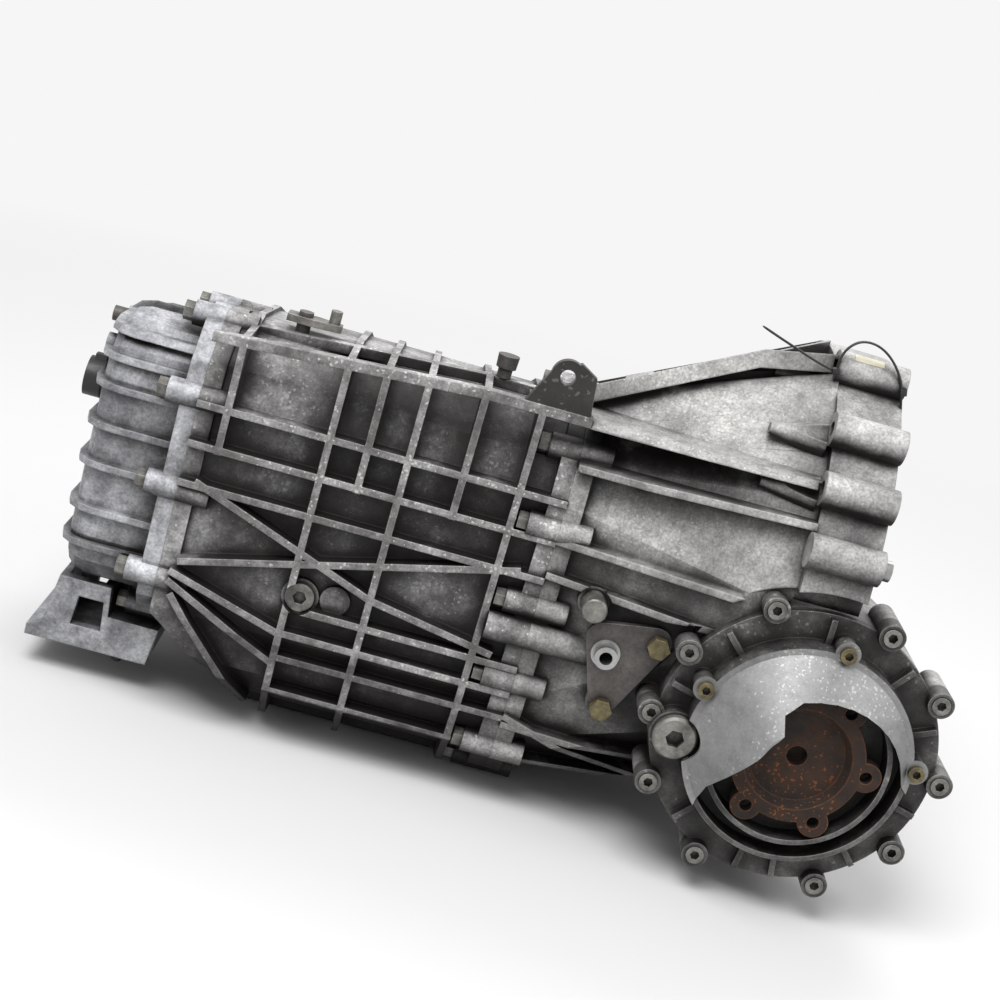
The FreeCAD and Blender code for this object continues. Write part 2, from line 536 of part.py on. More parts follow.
def rear_cover():
    length = mm.rear_cover_length
    edge = mm.cover_edge_radius

    def rounded(grow):
        radius = edge + grow
        outlines = [rear_outline(rear_x, grow)]
        for turn in (0, 30, 60, 90):
            angle = math.radians(turn)
            x = tail_x - grow + radius * (1 - math.sin(angle))
            outlines.append(rear_outline(x, grow - radius * (1 - math.cos(angle))))
        return Part.makeLoft(outlines, True, True)

    outer = rounded(0)
    envelope = rounded(mm.cover_rib_height)
    slabs = []
    for side, levels in ((-1, (57, 40, 20, -8, -36, -68, -94)), (1, (48, 12, -22, -55, -90))):
        slabs += [level_rib(tail_x - 30, rear_x, z, side) for z in levels]
    for y in (-35, 35):
        slabs.append(box((tail_x - 30, y - 2.5, 0), (rear_x, y + 2.5, 200)))
    ribs = fused(slabs).common(envelope)
    reach = mm.cover_wall + mm.seam_flange
    flange_length = mm.seam_flange_length
    pieces = [outer, ribs, prism(rear_outline(rear_x - flange_length, reach), flange_length)]
    boss = mm.seam_boss_length
    for y, z in rear_bolts():
        pieces.append(cylinder(mm.seam_boss_radius, boss, (rear_x - boss, y, z), (1, 0, 0)))
    pieces.append(cylinder(40, mm.cover_rib_height, (tail_x - mm.cover_rib_height, 0, 0), (1, 0, 0)))
    pieces.append(cylinder(8, 26, (tail_x - 2, mm.connector_y + 24, mm.cover_top - mm.vent_drop), (1, 0, 0)))
    pieces.append(cylinder(7, 14, (tail_x - 5, mm.connector_y - 14, mm.connector_z + 30), (1, 0, 0)))
    cover = fused(pieces)
    wall = mm.cover_wall
    space = prism(rear_outline(tail_x + wall, -wall), length)
    cover = cover.cut(space)
    seat = cylinder(37, 50, (tail_x + wall - 1, 0, 0), (1, 0, 0))
    cover = cover.fuse(seat)
    holes = [cylinder(30, 40, (tail_x + wall + 9, 0, 0), (1, 0, 0))]
    hole = mm.seam_bolt_radius + mm.bolt_clearance
    for y, z in rear_bolts():
        holes.append(cylinder(hole, boss + 2, (rear_x - boss - 1, y, z), (1, 0, 0)))
        holes.append(cylinder(mm.bolt_head_radius + 1, mm.bolt_head_height + 1, (rear_x - boss, y, z), (-1, 0, 0)))
    holes.append(cylinder(mm.connector_radius + 3.5, 8, (tail_x, mm.connector_y, mm.connector_z), (-1, 0, 0)))
    holes.append(cylinder(mm.connector_radius - 3, 40,
                          (tail_x - 20, mm.connector_y, mm.connector_z), (1, 0, 0)))
    holes.append(cylinder(mm.vent_radius, 40, (tail_x - 10, mm.connector_y + 24, mm.cover_top - mm.vent_drop), (1, 0, 0)))
    return new_feature("rear_cover", cover.cut(fused(holes)).removeSplitter())


# Bolts, each group one node of separate solids.
def hexagon(radius, height, start, direction):
    """A six-sided prism; radius is to its corners."""
    points = [Vector(radius * math.cos(math.radians(a)), radius * math.sin(math.radians(a)), 0)
              for a in range(0, 361, 60)]
    head = Part.Face(Part.makePolygon(points)).extrude(Vector(0, 0, height))
    head.Placement = Placement(Vector(*start), Rotation(Vector(0, 0, 1), Vector(*direction)))
    return head


def bolt(start, direction, shank_length, head_radius):
    """A hexagon bolt seated at start, whose head stands out along direction."""
    towards = Vector(*direction)
    shank_start = Vector(*start) - towards * shank_length
    shank = Part.makeCylinder(mm.seam_bolt_radius, shank_length + mm.bolt_head_height / 2, shank_start, towards)
    return shank.fuse(hexagon(head_radius, mm.bolt_head_height, start, direction))


def bolt_group(label, places, direction, shank_length, head_radius):
    bolts = [bolt(place, direction, shank_length, head_radius) for place in places]
    return new_feature(label, Part.Compound(bolts))


def seam_bolts():
    boss = mm.seam_boss_length
    shank = 2 * boss - 6
    head = mm.bolt_head_radius
    places = [(seam_x - boss, y, z) for y, z in front_bolts()]
    places += [(rear_x - boss, y, z) for y, z in rear_bolts()]
    bolt_group("seam_bolts", places, (-1, 0, 0), shank, head)


def side_cover_bolts():
    top = mm.housing_face_y - mm.cover_boss_height
    sink = 4
    bolts = []
    for angle in COVER_BOLT_ANGLES:
        x, z = on_axle(mm.cover_bolt_circle, angle)
        shank = cylinder(mm.seam_bolt_radius, mm.cover_boss_height + 14, (x, top + sink, z), (0, 1, 0))
        head = cylinder(6.2, 5, (x, top - 1, z), (0, 1, 0))
        socket = hexagon(3.4, 4, (x, top - 1, z), (0, 1, 0))
        bolts.append(shank.fuse(head).cut(socket))
    new_feature("side_cover_bolts", Part.Compound(bolts))


def shield_screws():
    y = mm.housing_face_y - mm.collar_height - mm.shield_sheet
    screws = []
    for angle in SHIELD_BOLT_ANGLES:
        x, z = on_axle(mm.shield_bolt_circle, angle)
        shank = cylinder(3, 12 + mm.shield_sheet, (x, y, z), (0, 1, 0))
        head = cylinder(5.5, 4, (x, y - 4, z), (0, 1, 0)).cut(hexagon(3, 3, (x, y - 4, z), (0, 1, 0)))
        screws.append(shank.fuse(head))
    new_feature("shield_screws", Part.Compound(screws))


def dowel_sleeves():
    start = mm.dowel_stand - mm.dowel_length
    sleeves = []
    for angle in DOWEL_ANGLES:
        y, z = rim_place(angle)
        outer = cylinder(mm.dowel_radius, mm.dowel_length, (start, y, z), (1, 0, 0))
        sleeves.append(outer.cut(cylinder(mm.rim_hole_radius, mm.dowel_length, (start, y, z), (1, 0, 0))))
    new_feature("dowel_sleeves", Part.Compound(sleeves))


# Side cover, shield, plugs and plate on the right-hand side.
def differential_cover():
    body = new_body("differential_cover", "axle_x", "0", "axle_z")
    face = "housing_face_y"
    floor = f"{face} - cover_plate_height"
    top = f"{face} - collar_height"
    hub = "bearing_radius + running_play"
    revolve(body, "XY_Plane", [
        (hub, f"{face} + 42"), ("bearing_radius + 7", f"{face} + 42"), ("bearing_radius + 7", face),
        ("cover_plate_radius", face), ("cover_plate_radius", floor),
        ("outer_collar_radius + 2", floor), ("outer_collar_radius", top),
        ("outer_collar_radius - collar_thickness", top), ("outer_collar_radius - collar_thickness", floor),
        ("inner_collar_radius + 1", floor), ("inner_collar_radius", f"{top} - 3"),
        ("inner_collar_radius - collar_thickness", f"{top} - 3"),
        ("inner_collar_radius - collar_thickness", f"{floor} - 4"),
        ("seal_radius + 9", f"{floor} - 4"), ("seal_radius + 5", f"{face} - seal_stand"),
        ("seal_radius", f"{face} - seal_stand"), ("seal_radius", f"{face} - seal_stand + seal_width"),
        ("axle_radius + 3", f"{face} - seal_stand + seal_width"), ("axle_radius + 3", f"{face} + 2"),
        ("trunnion_radius + 4", f"{face} + 6"), ("trunnion_radius + 4", f"{face} + 21"),
        (hub, f"{face} + 21"),
    ], "V_Axis")
    places = [(f"cover_bolt_circle * cos({a})", f"cover_bolt_circle * sin({a})") for a in COVER_BOLT_ANGLES]
    bosses = circles(body, "XZ_Plane", [(x, z, "cover_boss_radius") for x, z in places], f"-({face})")
    pad(body, bosses, "cover_boss_height")
    screws = [(f"shield_bolt_circle * cos({a})", f"shield_bolt_circle * sin({a})") for a in SHIELD_BOLT_ANGLES]
    stands = circles(body, "XZ_Plane", [(x, z, "shield_boss_radius") for x, z in screws], f"-({face})")
    pad(body, stands, "collar_height")
    plug = circles(body, "XZ_Plane", [("-82", "-10", "17")], f"-({face})")
    pad(body, plug, "20")
    for a in (24, 52, 92, 135, 166, 228, 262, 278, 312, 345):
        web = outline(body, "XZ_Plane", [
            (f"74 * cos({a}) - 2 * sin({a})", f"74 * sin({a}) + 2 * cos({a})"),
            (f"74 * cos({a}) + 2 * sin({a})", f"74 * sin({a}) - 2 * cos({a})"),
            (f"95 * cos({a}) + 2 * sin({a})", f"95 * sin({a}) - 2 * cos({a})"),
            (f"95 * cos({a}) - 2 * sin({a})", f"95 * sin({a}) + 2 * cos({a})")], f"-({face})")
        pad(body, web, "cover_plate_height + 6")
    holes = circles(body, "XZ_Plane", [(x, z, "seam_bolt_radius + bolt_clearance") for x, z in places],
                    f"-({face}) + cover_boss_height + 1")
    pocket(body, holes, "cover_boss_height + 2")
    heads = circles(body, "XZ_Plane", [(x, z, "6.3") for x, z in places], f"-({face}) + cover_boss_height + 1")
    pocket(body, heads, "5")
    taps = circles(body, "XZ_Plane", [(x, z, "3") for x, z in screws], f"-({face}) + collar_height + 1")
    pocket(body, taps, "14")
    bore = circles(body, "XZ_Plane", [("-82", "-10", "10.8")], f"-({face}) + 21")
    pocket(body, bore, "22")
    rest = circles(body, "XZ_Plane", [("-82", "-10", "15.4")], f"-({face}) + 30")
    pocket(body, rest, "10")


def filler_plug():
    body = new_body("filler_plug", "axle_x - 82", "housing_face_y - 20", "axle_z - 10")
    revolve(body, "XY_Plane", [("0", "18"), ("10.8", "18"), ("10.8", "0"), ("15", "0"), ("15", "-5"),
                               ("13.5", "-7"), ("0", "-7")], "V_Axis")
    socket = outline(body, "XZ_Plane", [(f"6.5 * cos({a})", f"6.5 * sin({a})") for a in range(0, 360, 60)], "8")
    pocket(body, socket, "7")


def level_plug():
    body = new_body("level_plug", "-362", "-case_half_width - 4", "-84")
    revolve(body, "XY_Plane", [("0", "12"), ("7.8", "12"), ("7.8", "0"), ("10", "0"), ("10", "-3"), ("0", "-3")],
            "V_Axis")
    socket = outline(body, "XZ_Plane", [(f"5 * cos({a})", f"5 * sin({a})") for a in range(0, 360, 60)], "4")
    pocket(body, socket, "5")


def drain_plug():
    body = new_body("drain_plug", "drain_x", "0", "-case_bottom")
    revolve(body, "XZ_Plane", [("0", "10"), ("7.8", "10"), ("7.8", "-5"), ("11", "-5"), ("11", "-9"), ("0", "-9")],
            "V_Axis")
    socket = outline(body, "XY_Plane", [(f"5 * cos({a})", f"5 * sin({a})") for a in range(0, 360, 60)], "-10")
    pocket(body, socket, "6", True)


def heat_shield():
    body = new_body("heat_shield", "axle_x", "0", "axle_z")
    seat = "housing_face_y - collar_height"
    nose = f"{seat} - shield_reach"
    revolve(body, "XY_Plane", [
        ("shield_radius - 2", seat), ("shield_radius + 4", seat), ("shield_radius + 4", f"{seat} - shield_sheet"),
        ("shield_radius", f"{seat} - shield_sheet"), ("shield_nose_radius + shield_sheet", nose),
        ("shield_nose_radius", nose)], "V_Axis")
    places = [(f"shield_bolt_circle * cos({a})", f"shield_bolt_circle * sin({a})") for a in SHIELD_BOLT_ANGLES]
    tabs = circles(body, "XZ_Plane", [(x, z, "shield_tab_radius") for x, z in places], f"-({seat})")
    pad(body, tabs, "shield_sheet")
    rim = [(f"8 + shield_rim_radius * cos({a})", f"-15 + shield_rim_radius * sin({a})") for a in range(20, 111, 10)]
    opening = outline(body, "XZ_Plane", [("110", "-14"), ("84", "-12"), ("72", "0")] + rim + [
        ("-24", "36"), ("-22", "25"), ("-54", "-33"), ("-60", "-75"), ("0", "-110"), ("110", "-110")],
        f"-({nose}) + 2")
    pocket(body, opening, "shield_reach + 3")
    holes = circles(body, "XZ_Plane", [(x, z, "3.2") for x, z in places], f"-({seat}) + 3")
    pocket(body, holes, "6")
    plug_room = circles(body, "XZ_Plane", [("-82", "-10", "16.5")], f"-({nose}) + 2")
    pocket(body, plug_room, "shield_reach + 3")


def port_plate():
    body = new_body("port_plate", "0", "port_plate_y", "0")
    plate = outline(body, "XZ_Plane", [("-172", "-38"), ("-103", "-26"), ("-147", "-116")], "0")
    sheet_metal = pad(body, plate, "port_plate_thickness")
    document.recompute()
    upright = [f"Edge{n}" for n, e in enumerate(sheet_metal.Shape.Edges, 1)
               if e.BoundBox.XLength + e.BoundBox.ZLength < 0.01]
    rounds = body.newObject("PartDesign::Fillet", "port_plate_corners")
    rounds.Base = (sheet_metal, upright)
    rounds.setExpression("Radius", bound("port_corner_radius"))
    holes = circles(body, "XZ_Plane", [("-153", "-56", "7"), ("-120", "-42", "4.2"), ("-145", "-95", "4.2")],
                    "port_plate_thickness + 1")
    pocket(body, holes, "port_plate_thickness + 2")


def port_socket():
    body = new_body("port_socket", "-153", "port_plate_y", "-56")
    front = "-port_plate_thickness"
    revolve(body, "XY_Plane", [("4.5", "2"), ("6.9", "2"), ("6.9", front), ("10", front),
                               ("10", f"{front} - 3"), ("8", f"{front} - 3"), ("8", f"{front} - 12"),
                               ("4.5", f"{front} - 12")], "V_Axis")


def port_bolts():
    y = mm.port_plate_y - mm.port_plate_thickness
    bolt_group("port_plate_bolts", [(-120, y, -42), (-145, y, -95)], (0, -1, 0), 5, 8)


def stub_plug():
    body = new_body("stub_plug", "-169", "port_plate_y + 10", "-28")
    revolve(body, "XY_Plane", [("0", "7"), ("8.6", "7"), ("8.6", "-21"), ("7.6", "-22"), ("0", "-22")], "V_Axis")


# Drive flanges, one each side, with their shafts.
def flange_shaft(label, turned):
    body = new_body(label, "axle_x", "0", "axle_z", turned)
    face = "-flange_face_y"
    back = f"{face} + flange_thickness"
    end = "-(cage_centre_y + 10)" if turned else "cage_centre_y - 10"
    revolve(body, "XY_Plane", [
        ("flange_centre_hole", f"{face} + flange_dish_depth"), ("flange_dish_radius - 4", f"{face} + flange_dish_depth"),
        ("flange_dish_radius", face), ("flange_radius", face), ("flange_radius", back),
        ("flange_hub_radius", back), ("axle_radius", f"{back} + 4"), ("axle_radius", end), ("0", end),
        ("0", f"{face} + flange_dish_depth + 10"), ("flange_centre_hole", f"{face} + flange_dish_depth + 10"),
    ], "V_Axis")
    lobe = circles(body, "XZ_Plane", [("flange_bolt_radius", "0", "flange_lobe_radius")], "flange_face_y")
    ring_of(body, pad(body, lobe, "flange_thickness", True), lobe, 6)
    hole = circles(body, "XZ_Plane", [("flange_bolt_radius", "0", "flange_hole_radius")], "flange_face_y + 1")
    ring_of(body, pocket(body, hole, "flange_thickness + 2"), hole, 6)
    return body


def tube_pair(label, starts, length, bore, radius):
    """Two like rings on the axle."""
    rings = []
    for start in starts:
        ring = cylinder(radius, length, (mm.axle_x, start, mm.axle_z), (0, 1, 0))
        rings.append(ring.cut(cylinder(bore, length, (mm.axle_x, start, mm.axle_z), (0, 1, 0))))
    new_feature(label, Part.Compound(rings))


def seals_and_bearings():
    play = mm.running_play
    tube_pair("shaft_seals", (mm.housing_face_y - mm.seal_stand, mm.axle_tube_end_y - mm.seal_width), mm.seal_width,
              mm.axle_radius + play, mm.seal_radius)
    tube_pair("cage_bearings", (mm.housing_face_y + 21.5, mm.cage_left_y + 2), mm.bearing_width,
              mm.trunnion_radius + play, mm.bearing_radius)
    tube_along_x("pinion_bearing_front", "axle_x - crown_radius - 30", "20", "side_shaft_radius + running_play",
                 "pinion_bearing_radius", SIDE_Y, "axle_z")
    tube_along_x("pinion_bearing_rear", "web_front_x - web_thickness", "web_thickness",
                 "side_shaft_radius + running_play", "tail_bearing_radius", SIDE_Y, "axle_z")
    tube_along_x("carrier_bearing", "web_front_x - web_thickness", "web_thickness",
                 "carrier_hub_radius + running_play", "web_hole_radius")
    tube_along_x("input_bearing_rear", "-(bell_length + case_length + rear_cover_length) + cover_wall + 9.5", "16",
                 "input_radius + running_play", "30")
    tube_along_x("input_seal", "bulkhead_x + 2", "seal_width", "input_radius + running_play", "26")


# Toothed wheels.
def spur_outline(teeth, module, phase, x, low=(-1.15, 0.27), high=(0.9, 0.13)):
    """Straight-sided teeth across the shaft. phase is a tooth's middle in degrees; low and high give
    the foot and tip as a distance in modules and half a width in pitches."""
    pitch_angle = 360 / teeth
    radius = module * teeth / 2
    points = []
    for index in range(int(teeth)):
        middle = phase + index * pitch_angle
        for side, (distance, half) in ((-1, low), (-1, high), (1, high), (1, low)):
            turn = math.radians(middle + side * half * pitch_angle)
            reach = radius + distance * module
            points.append(Vector(x, reach * math.cos(turn), reach * math.sin(turn)))
    return Part.makePolygon(points + points[:1])


def spur_gear(teeth, module, phase, x, width, bore):
    wheel = prism(spur_outline(teeth, module, phase, x), width)
    return wheel.cut(cylinder(bore, width, (x, 0, 0), (1, 0, 0)))


def bevel_cone(teeth, pitch_cone, back, phase, add=2.7, ded=3.5):
    """A toothed cone with its tip at the origin, opening along z as far as back."""
    step = 360 / teeth
    points = []
    for index in range(int(teeth)):
        middle = phase + index * step
        for offset, lean in ((-0.29, -ded), (-0.12, add), (0.12, add), (0.29, -ded)):
            turn = math.radians(middle + offset * step)
            reach = back * math.tan(math.radians(pitch_cone + lean))
            points.append(Vector(reach * math.cos(turn), reach * math.sin(turn), back))
    tip = Vector()
    faces = [Part.Face(Part.makePolygon([tip, a, b, tip])) for a, b in zip(points, points[1:] + points[:1])]
    faces.append(Part.Face(Part.makePolygon(points + points[:1])))
    return Part.Solid(Part.Shell(faces))


def ring_solid(inner, outer, low, high):
    """A plain ring on the z axis."""
    ring = cylinder(outer, high - low, (0, 0, low), (0, 0, 1))
    return ring.cut(cylinder(inner, high - low, (0, 0, low), (0, 0, 1))) if inner else ring


def transfer_gears():
    width = mm.transfer_width
    x = mm.transfer_front_x - width
    towards = math.degrees(math.atan2(mm.axle_z, side_y))
    drive = spur_gear(mm.drive_teeth, mm.transfer_module, towards, x, width, mm.carrier_hub_radius)
    new_feature("transfer_drive_gear", drive)
    phase = towards + 180 + 180 / mm.driven_teeth
    driven = spur_gear(mm.driven_teeth, mm.transfer_module, phase, x, width, mm.side_shaft_radius)
    driven.translate(Vector(0, side_y, mm.axle_z))
    new_feature("transfer_driven_gear", driven)


def planet_set():
    module, width, x = mm.planet_module, mm.planet_width, mm.planet_front_x - mm.planet_width
    new_feature("sun_gear", spur_gear(mm.sun_teeth, module, 0, x, width, mm.input_radius))
    orbit = module * (mm.sun_teeth + mm.planet_teeth) / 2
    pins = []
    for index, angle in enumerate((90, 210, 330), start=1):
        turn = math.radians(angle)
        y, z = orbit * math.cos(turn), orbit * math.sin(turn)
        planet = spur_gear(mm.planet_teeth, module, angle + 180, x, width,
                           mm.planet_pin_radius + mm.running_play)
        planet.translate(Vector(0, y, z))
        new_feature(f"planet_gear_{index}", planet)
        pins.append(cylinder(mm.planet_pin_radius, width + 2 * mm.carrier_plate,
                             (x - mm.carrier_plate, y, z), (1, 0, 0)))
    new_feature("planet_pins", Part.Compound(pins))
    web_x = mm.web_front_x - mm.web_thickness
    ring = cylinder(mm.ring_outer_radius, web_x - x, (x, 0, 0), (1, 0, 0))
    teeth = spur_outline(mm.ring_teeth, module, 180 / mm.ring_teeth, x, (-0.9, 0.36), (1.15, 0.22))
    ring = ring.cut(prism(teeth, web_x - x))
    new_feature("ring_gear", ring)
    plate = mm.carrier_plate
    play = mm.head_play
    plates = [
        cylinder(mm.carrier_radius, plate, (x - plate - play, 0, 0), (1, 0, 0)),
        cylinder(mm.carrier_radius, plate, (x + width + play, 0, 0), (1, 0, 0)),
        cylinder(mm.carrier_hub_radius, mm.transfer_front_x - x - width, (x + width + play, 0, 0), (1, 0, 0)),
    ]
    for angle in (30, 150, 270):
        turn = math.radians(angle)
        y, z = (orbit + 1) * math.cos(turn), (orbit + 1) * math.sin(turn)
        plates.append(cylinder(7, width + plate, (x - plate / 2, y, z), (1, 0, 0)))
    carrier = fused(plates).cut(cylinder(mm.input_radius + mm.running_play, 200, (x - 20, 0, 0), (1, 0, 0)))
    new_feature("planet_carrier", carrier.cut(Part.Compound(pins)))


def final_drive():
    apex = Vector(mm.axle_x, apex_y, mm.axle_z)
    crown_cone = math.degrees(math.atan(mm.crown_teeth / mm.pinion_teeth))
    back = mm.crown_back
    crown = bevel_cone(mm.crown_teeth, crown_cone, back, 180)
    crown = crown.common(ring_solid(mm.crown_bore, mm.crown_radius, 0, back))
    crown.Placement = Placement(apex, Rotation(Vector(1, 0, 0), Vector(0, 0, 1), Vector(0, -1, 0), "ZXY"))
    new_feature("crown_wheel", crown)
    pinion = bevel_cone(mm.pinion_teeth, 90 - crown_cone, mm.crown_radius, 180 / mm.pinion_teeth)
    head = pinion.common(ring_solid(0, mm.crown_radius, mm.pinion_inner, mm.crown_radius))
    head.Placement = Placement(apex, Rotation(Vector(0, -1, 0), Vector(), Vector(-1, 0, 0), "ZXY"))
    shaft_end = mm.web_front_x - mm.web_thickness
    shaft = cylinder(mm.side_shaft_radius, pinion_head_x - shaft_end, (shaft_end, side_y, mm.axle_z), (1, 0, 0))
    new_feature("pinion_shaft", head.fuse(shaft))


def differential():
    x, y, z = mm.axle_x, mm.cage_centre_y, mm.axle_z
    centre = Vector(x, y, z)
    side_cone = math.degrees(math.atan(mm.side_teeth / mm.spider_teeth))
    slant = mm.side_gear_radius / math.sin(math.radians(side_cone))
    side_axial = slant * math.cos(math.radians(side_cone))
    spider_radius = side_axial
    side_back, spider_back = side_axial + 8, mm.side_gear_radius + 7
    for label, way in (("side_gear_right", -1), ("side_gear_left", 1)):
        gear = bevel_cone(mm.side_teeth, side_cone, side_back, 0, 6, 8)
        gear = gear.common(ring_solid(mm.axle_radius, mm.side_gear_radius, side_axial * 0.62, side_back))
        gear.Placement = Placement(centre, Rotation(Vector(0, 0, 1), Vector(), Vector(0, way, 0), "ZXY"))
        new_feature(label, gear)
    for label, way in (("spider_gear_upper", 1), ("spider_gear_lower", -1)):
        gear = bevel_cone(mm.spider_teeth, 90 - side_cone, spider_back, 180 / mm.spider_teeth, 6, 8)
        ring = ring_solid(mm.cross_pin_radius + mm.running_play, spider_radius, mm.side_gear_radius * 0.62,
                          spider_back)
        gear = gear.common(ring)
        gear.Placement = Placement(centre, Rotation(Vector(0, 1, 0), Vector(), Vector(0, 0, way), "ZXY"))
        new_feature(label, gear)
    pin_length = 2 * mm.cage_radius - 2
    pin = cylinder(mm.cross_pin_radius, pin_length, (x, y, z - pin_length / 2), (0, 0, 1))
    new_feature("cross_pin", pin)
    flange_y = apex_y - mm.crown_back - mm.cage_flange_length
    cage = [
        cylinder(mm.cage_radius, mm.cage_left_y - flange_y, (x, flange_y, z), (0, 1, 0)),
        cylinder(mm.cage_flange_radius, mm.cage_flange_length, (x, flange_y, z), (0, 1, 0)),
        cylinder(mm.trunnion_radius, mm.trunnion_length, (x, mm.cage_left_y, z), (0, 1, 0)),
        cylinder(mm.trunnion_radius, mm.trunnion_length + 3, (x, flange_y - mm.trunnion_length - 3, z), (0, 1, 0)),
    ]
    room = side_back + mm.head_play
    play = mm.head_play
    cuts = [
        cylinder(mm.side_gear_radius + 1, 2 * room, (x, y - room, z), (0, 1, 0)),
        cylinder(spider_radius + 1, 2 * (spider_back + play), (x, y, z - spider_back - play), (0, 0, 1)),
        box((x - 70, y - 18, z - 24), (x + 70, y + 18, z + 24)),
        cylinder(mm.axle_radius + mm.head_play, 300, (x, -200, z), (0, 1, 0)),
        cylinder(mm.cross_pin_radius, 2 * mm.cage_radius, (x, y, z - mm.cage_radius), (0, 0, 1)),
    ]
    new_feature("differential_cage", fused(cage).cut(fused(cuts)))


# Shafts, clutches, pump and control block on and below the crank axis.
def input_shaft():
    tip, tail = "input_tip_x", "input_tail_x"
    spline = f"{tip} - pilot_length"
    spline_end = f"{spline} - spline_length"
    body = turned_along_x("input_shaft", [
        (tail, "0"), (tip, "0"), (tip, "pilot_radius - 1"), (f"{tip} - 1", "pilot_radius"), (spline, "pilot_radius"),
        (spline, "input_radius - 1.5"), (spline_end, "input_radius - 1.5"), (f"{spline_end} - 2", "input_radius"),
        (tail, "input_radius")])
    tooth = outline(body, "YZ_Plane", [
        ("-1", "input_radius - 2.5"), ("1", "input_radius - 2.5"), ("0.6", "input_radius - 0.2"),
        ("-0.6", "input_radius - 0.2")], f"{spline_end}")
    ring_of(body, pad(body, tooth, "spline_length - 4"), tooth, 18)


def drum(label, start, length):
    """A clutch drum: a web on the input shaft, a thin rim and a sleeve inside the plates."""
    stop = f"{start} + {length}"
    rim = "drum_radius - drum_wall"
    web = f"{start} + 5"
    sleeve_end = f"{stop} - 6"
    turned_along_x(label, [
        (start, "input_radius"), (web, "input_radius"), (web, "plate_inner - 4"), (sleeve_end, "plate_inner - 4"),
        (sleeve_end, "plate_inner"), (web, "plate_inner"), (web, rim), (stop, rim), (stop, "drum_radius"),
        (start, "drum_radius")])


def clutches_and_pump():
    drum("front_clutch_drum", "front_drum_x", "front_drum_length")
    drum("rear_clutch_drum", "rear_drum_x", "rear_drum_length")
    inner, outer = mm.plate_inner, mm.drum_radius - mm.drum_wall
    plates = []
    for start, count in ((mm.front_drum_x + 12, 5), (mm.rear_drum_x + 12, 7)):
        for index in range(count):
            x = start + index * 2 * mm.plate_thickness
            plate = cylinder(outer, mm.plate_thickness, (x, 0, 0), (1, 0, 0))
            plates.append(plate.cut(cylinder(inner, mm.plate_thickness, (x, 0, 0), (1, 0, 0))))
    new_feature("clutch_plates", Part.Compound(plates))
    front = "bulkhead_x"
    turned_along_x("oil_pump_body", [
        (f"{front} - pump_length", "input_radius + head_play"), (f"{front} - pump_length", "pump_radius"),
        (front, "pump_radius"), (front, "24"), (f"{front} - 10", "24"), (f"{front} - 10", "input_radius + head_play")])
    tube_along_x("oil_pump_rotor", "bulkhead_x - 10 + head_play", "10 - 2 * head_play", "input_radius",
                 "24 - running_play")


def control_block():
    low = -mm.case_bottom + mm.case_wall
    block = box((-372, -46, low), (-292, 46, low + 30))
    channels = [box((x, -40, low + 22), (x + 8, 40, low + 31)) for x in range(-366, -300, 17)]
    new_feature("valve_body", block.cut(fused(channels)))


# Pieces at the rear and on top.
def electrical_connector():
    body = new_body("electrical_connector", "-(bell_length + case_length + rear_cover_length)", "connector_y",
                    "connector_z")
    revolve(body, "XZ_Plane", [
        ("8", "0"), ("8", "connector_radius - 3"), ("0", "connector_radius - 3"), ("0", "connector_radius - 1"),
        ("-4", "connector_radius - 1"), ("-4", "connector_radius"), ("-connector_reach", "connector_radius"),
        ("-connector_reach", "connector_radius - 2.5"), ("-7", "connector_radius - 2.5"), ("-7", "0")], "H_Axis")
    lobe = outline(body, "YZ_Plane", [("-4", "connector_radius - 1.5"), ("4", "connector_radius - 1.5"),
                                      ("3", "connector_radius + 3"), ("-3", "connector_radius + 3")], "-5")
    pad(body, lobe, "connector_reach - 8", True)


def vent_tube():
    start = "-(bell_length + case_length + rear_cover_length) - 12"
    tube_along_x("vent_tube", start, "32", "vent_bore", "vent_radius", "connector_y + 24", "cover_top - vent_drop")


def lifting_eye():
    edge = "-(case_half_width + rib_height)"
    body = new_body("lifting_eye", "0", edge, "shelf_top")
    plate = outline(body, "XZ_Plane", [("-252", "0"), ("-207", "0"), ("-210", "26"), ("-222", "33"), ("-240", "24")],
                    "-eye_thickness")
    pad(body, plate, "eye_thickness")
    crown = circles(body, "XZ_Plane", [("-229", "22", "11.5")], "-eye_thickness")
    pad(body, crown, "eye_thickness")
    foot = outline(body, "XZ_Plane", [("-250", "0"), ("-207", "0"), ("-207", "4"), ("-250", "4")], "-eye_thickness")
    pad(body, foot, "12", True)
    hole = circles(body, "XZ_Plane", [("-229", "22", "eye_hole_radius")], "1")
    pocket(body, hole, "eye_thickness + 2")


def breather_post():
    body = new_body("breather_post", "-268", "-(case_half_width + rib_height - rail_inset - rail_width / 2)",
                    "shelf_top")
    revolve(body, "XZ_Plane", [("0", "0"), ("5", "0"), ("5", "6"), ("7", "7"), ("7.5", "16"), ("0", "16")], "V_Axis")


def selector():
    body = new_body("selector_shaft", "selector_x", "selector_y", "selector_lever_z")
    revolve(body, "XZ_Plane", [("0", "-60"), ("selector_shaft_radius", "-60"), ("selector_shaft_radius", "8"),
                               ("0", "8")], "V_Axis")
    lever = new_body("selector_lever", "selector_x", "selector_y", "selector_lever_z")
    arm = outline(lever, "XY_Plane", [("-12", "-7"), ("8", "-8"), ("26", "-4"), ("26", "4"), ("8", "8"), ("-12", "7")])
    pad(lever, arm, "5")
    hole = circles(lever, "XY_Plane", [("0", "0", "selector_shaft_radius")], "6")
    pocket(lever, hole, "8")
    ball = circles(lever, "XY_Plane", [("20", "0", "4")], "5")
    pad(lever, ball, "9")


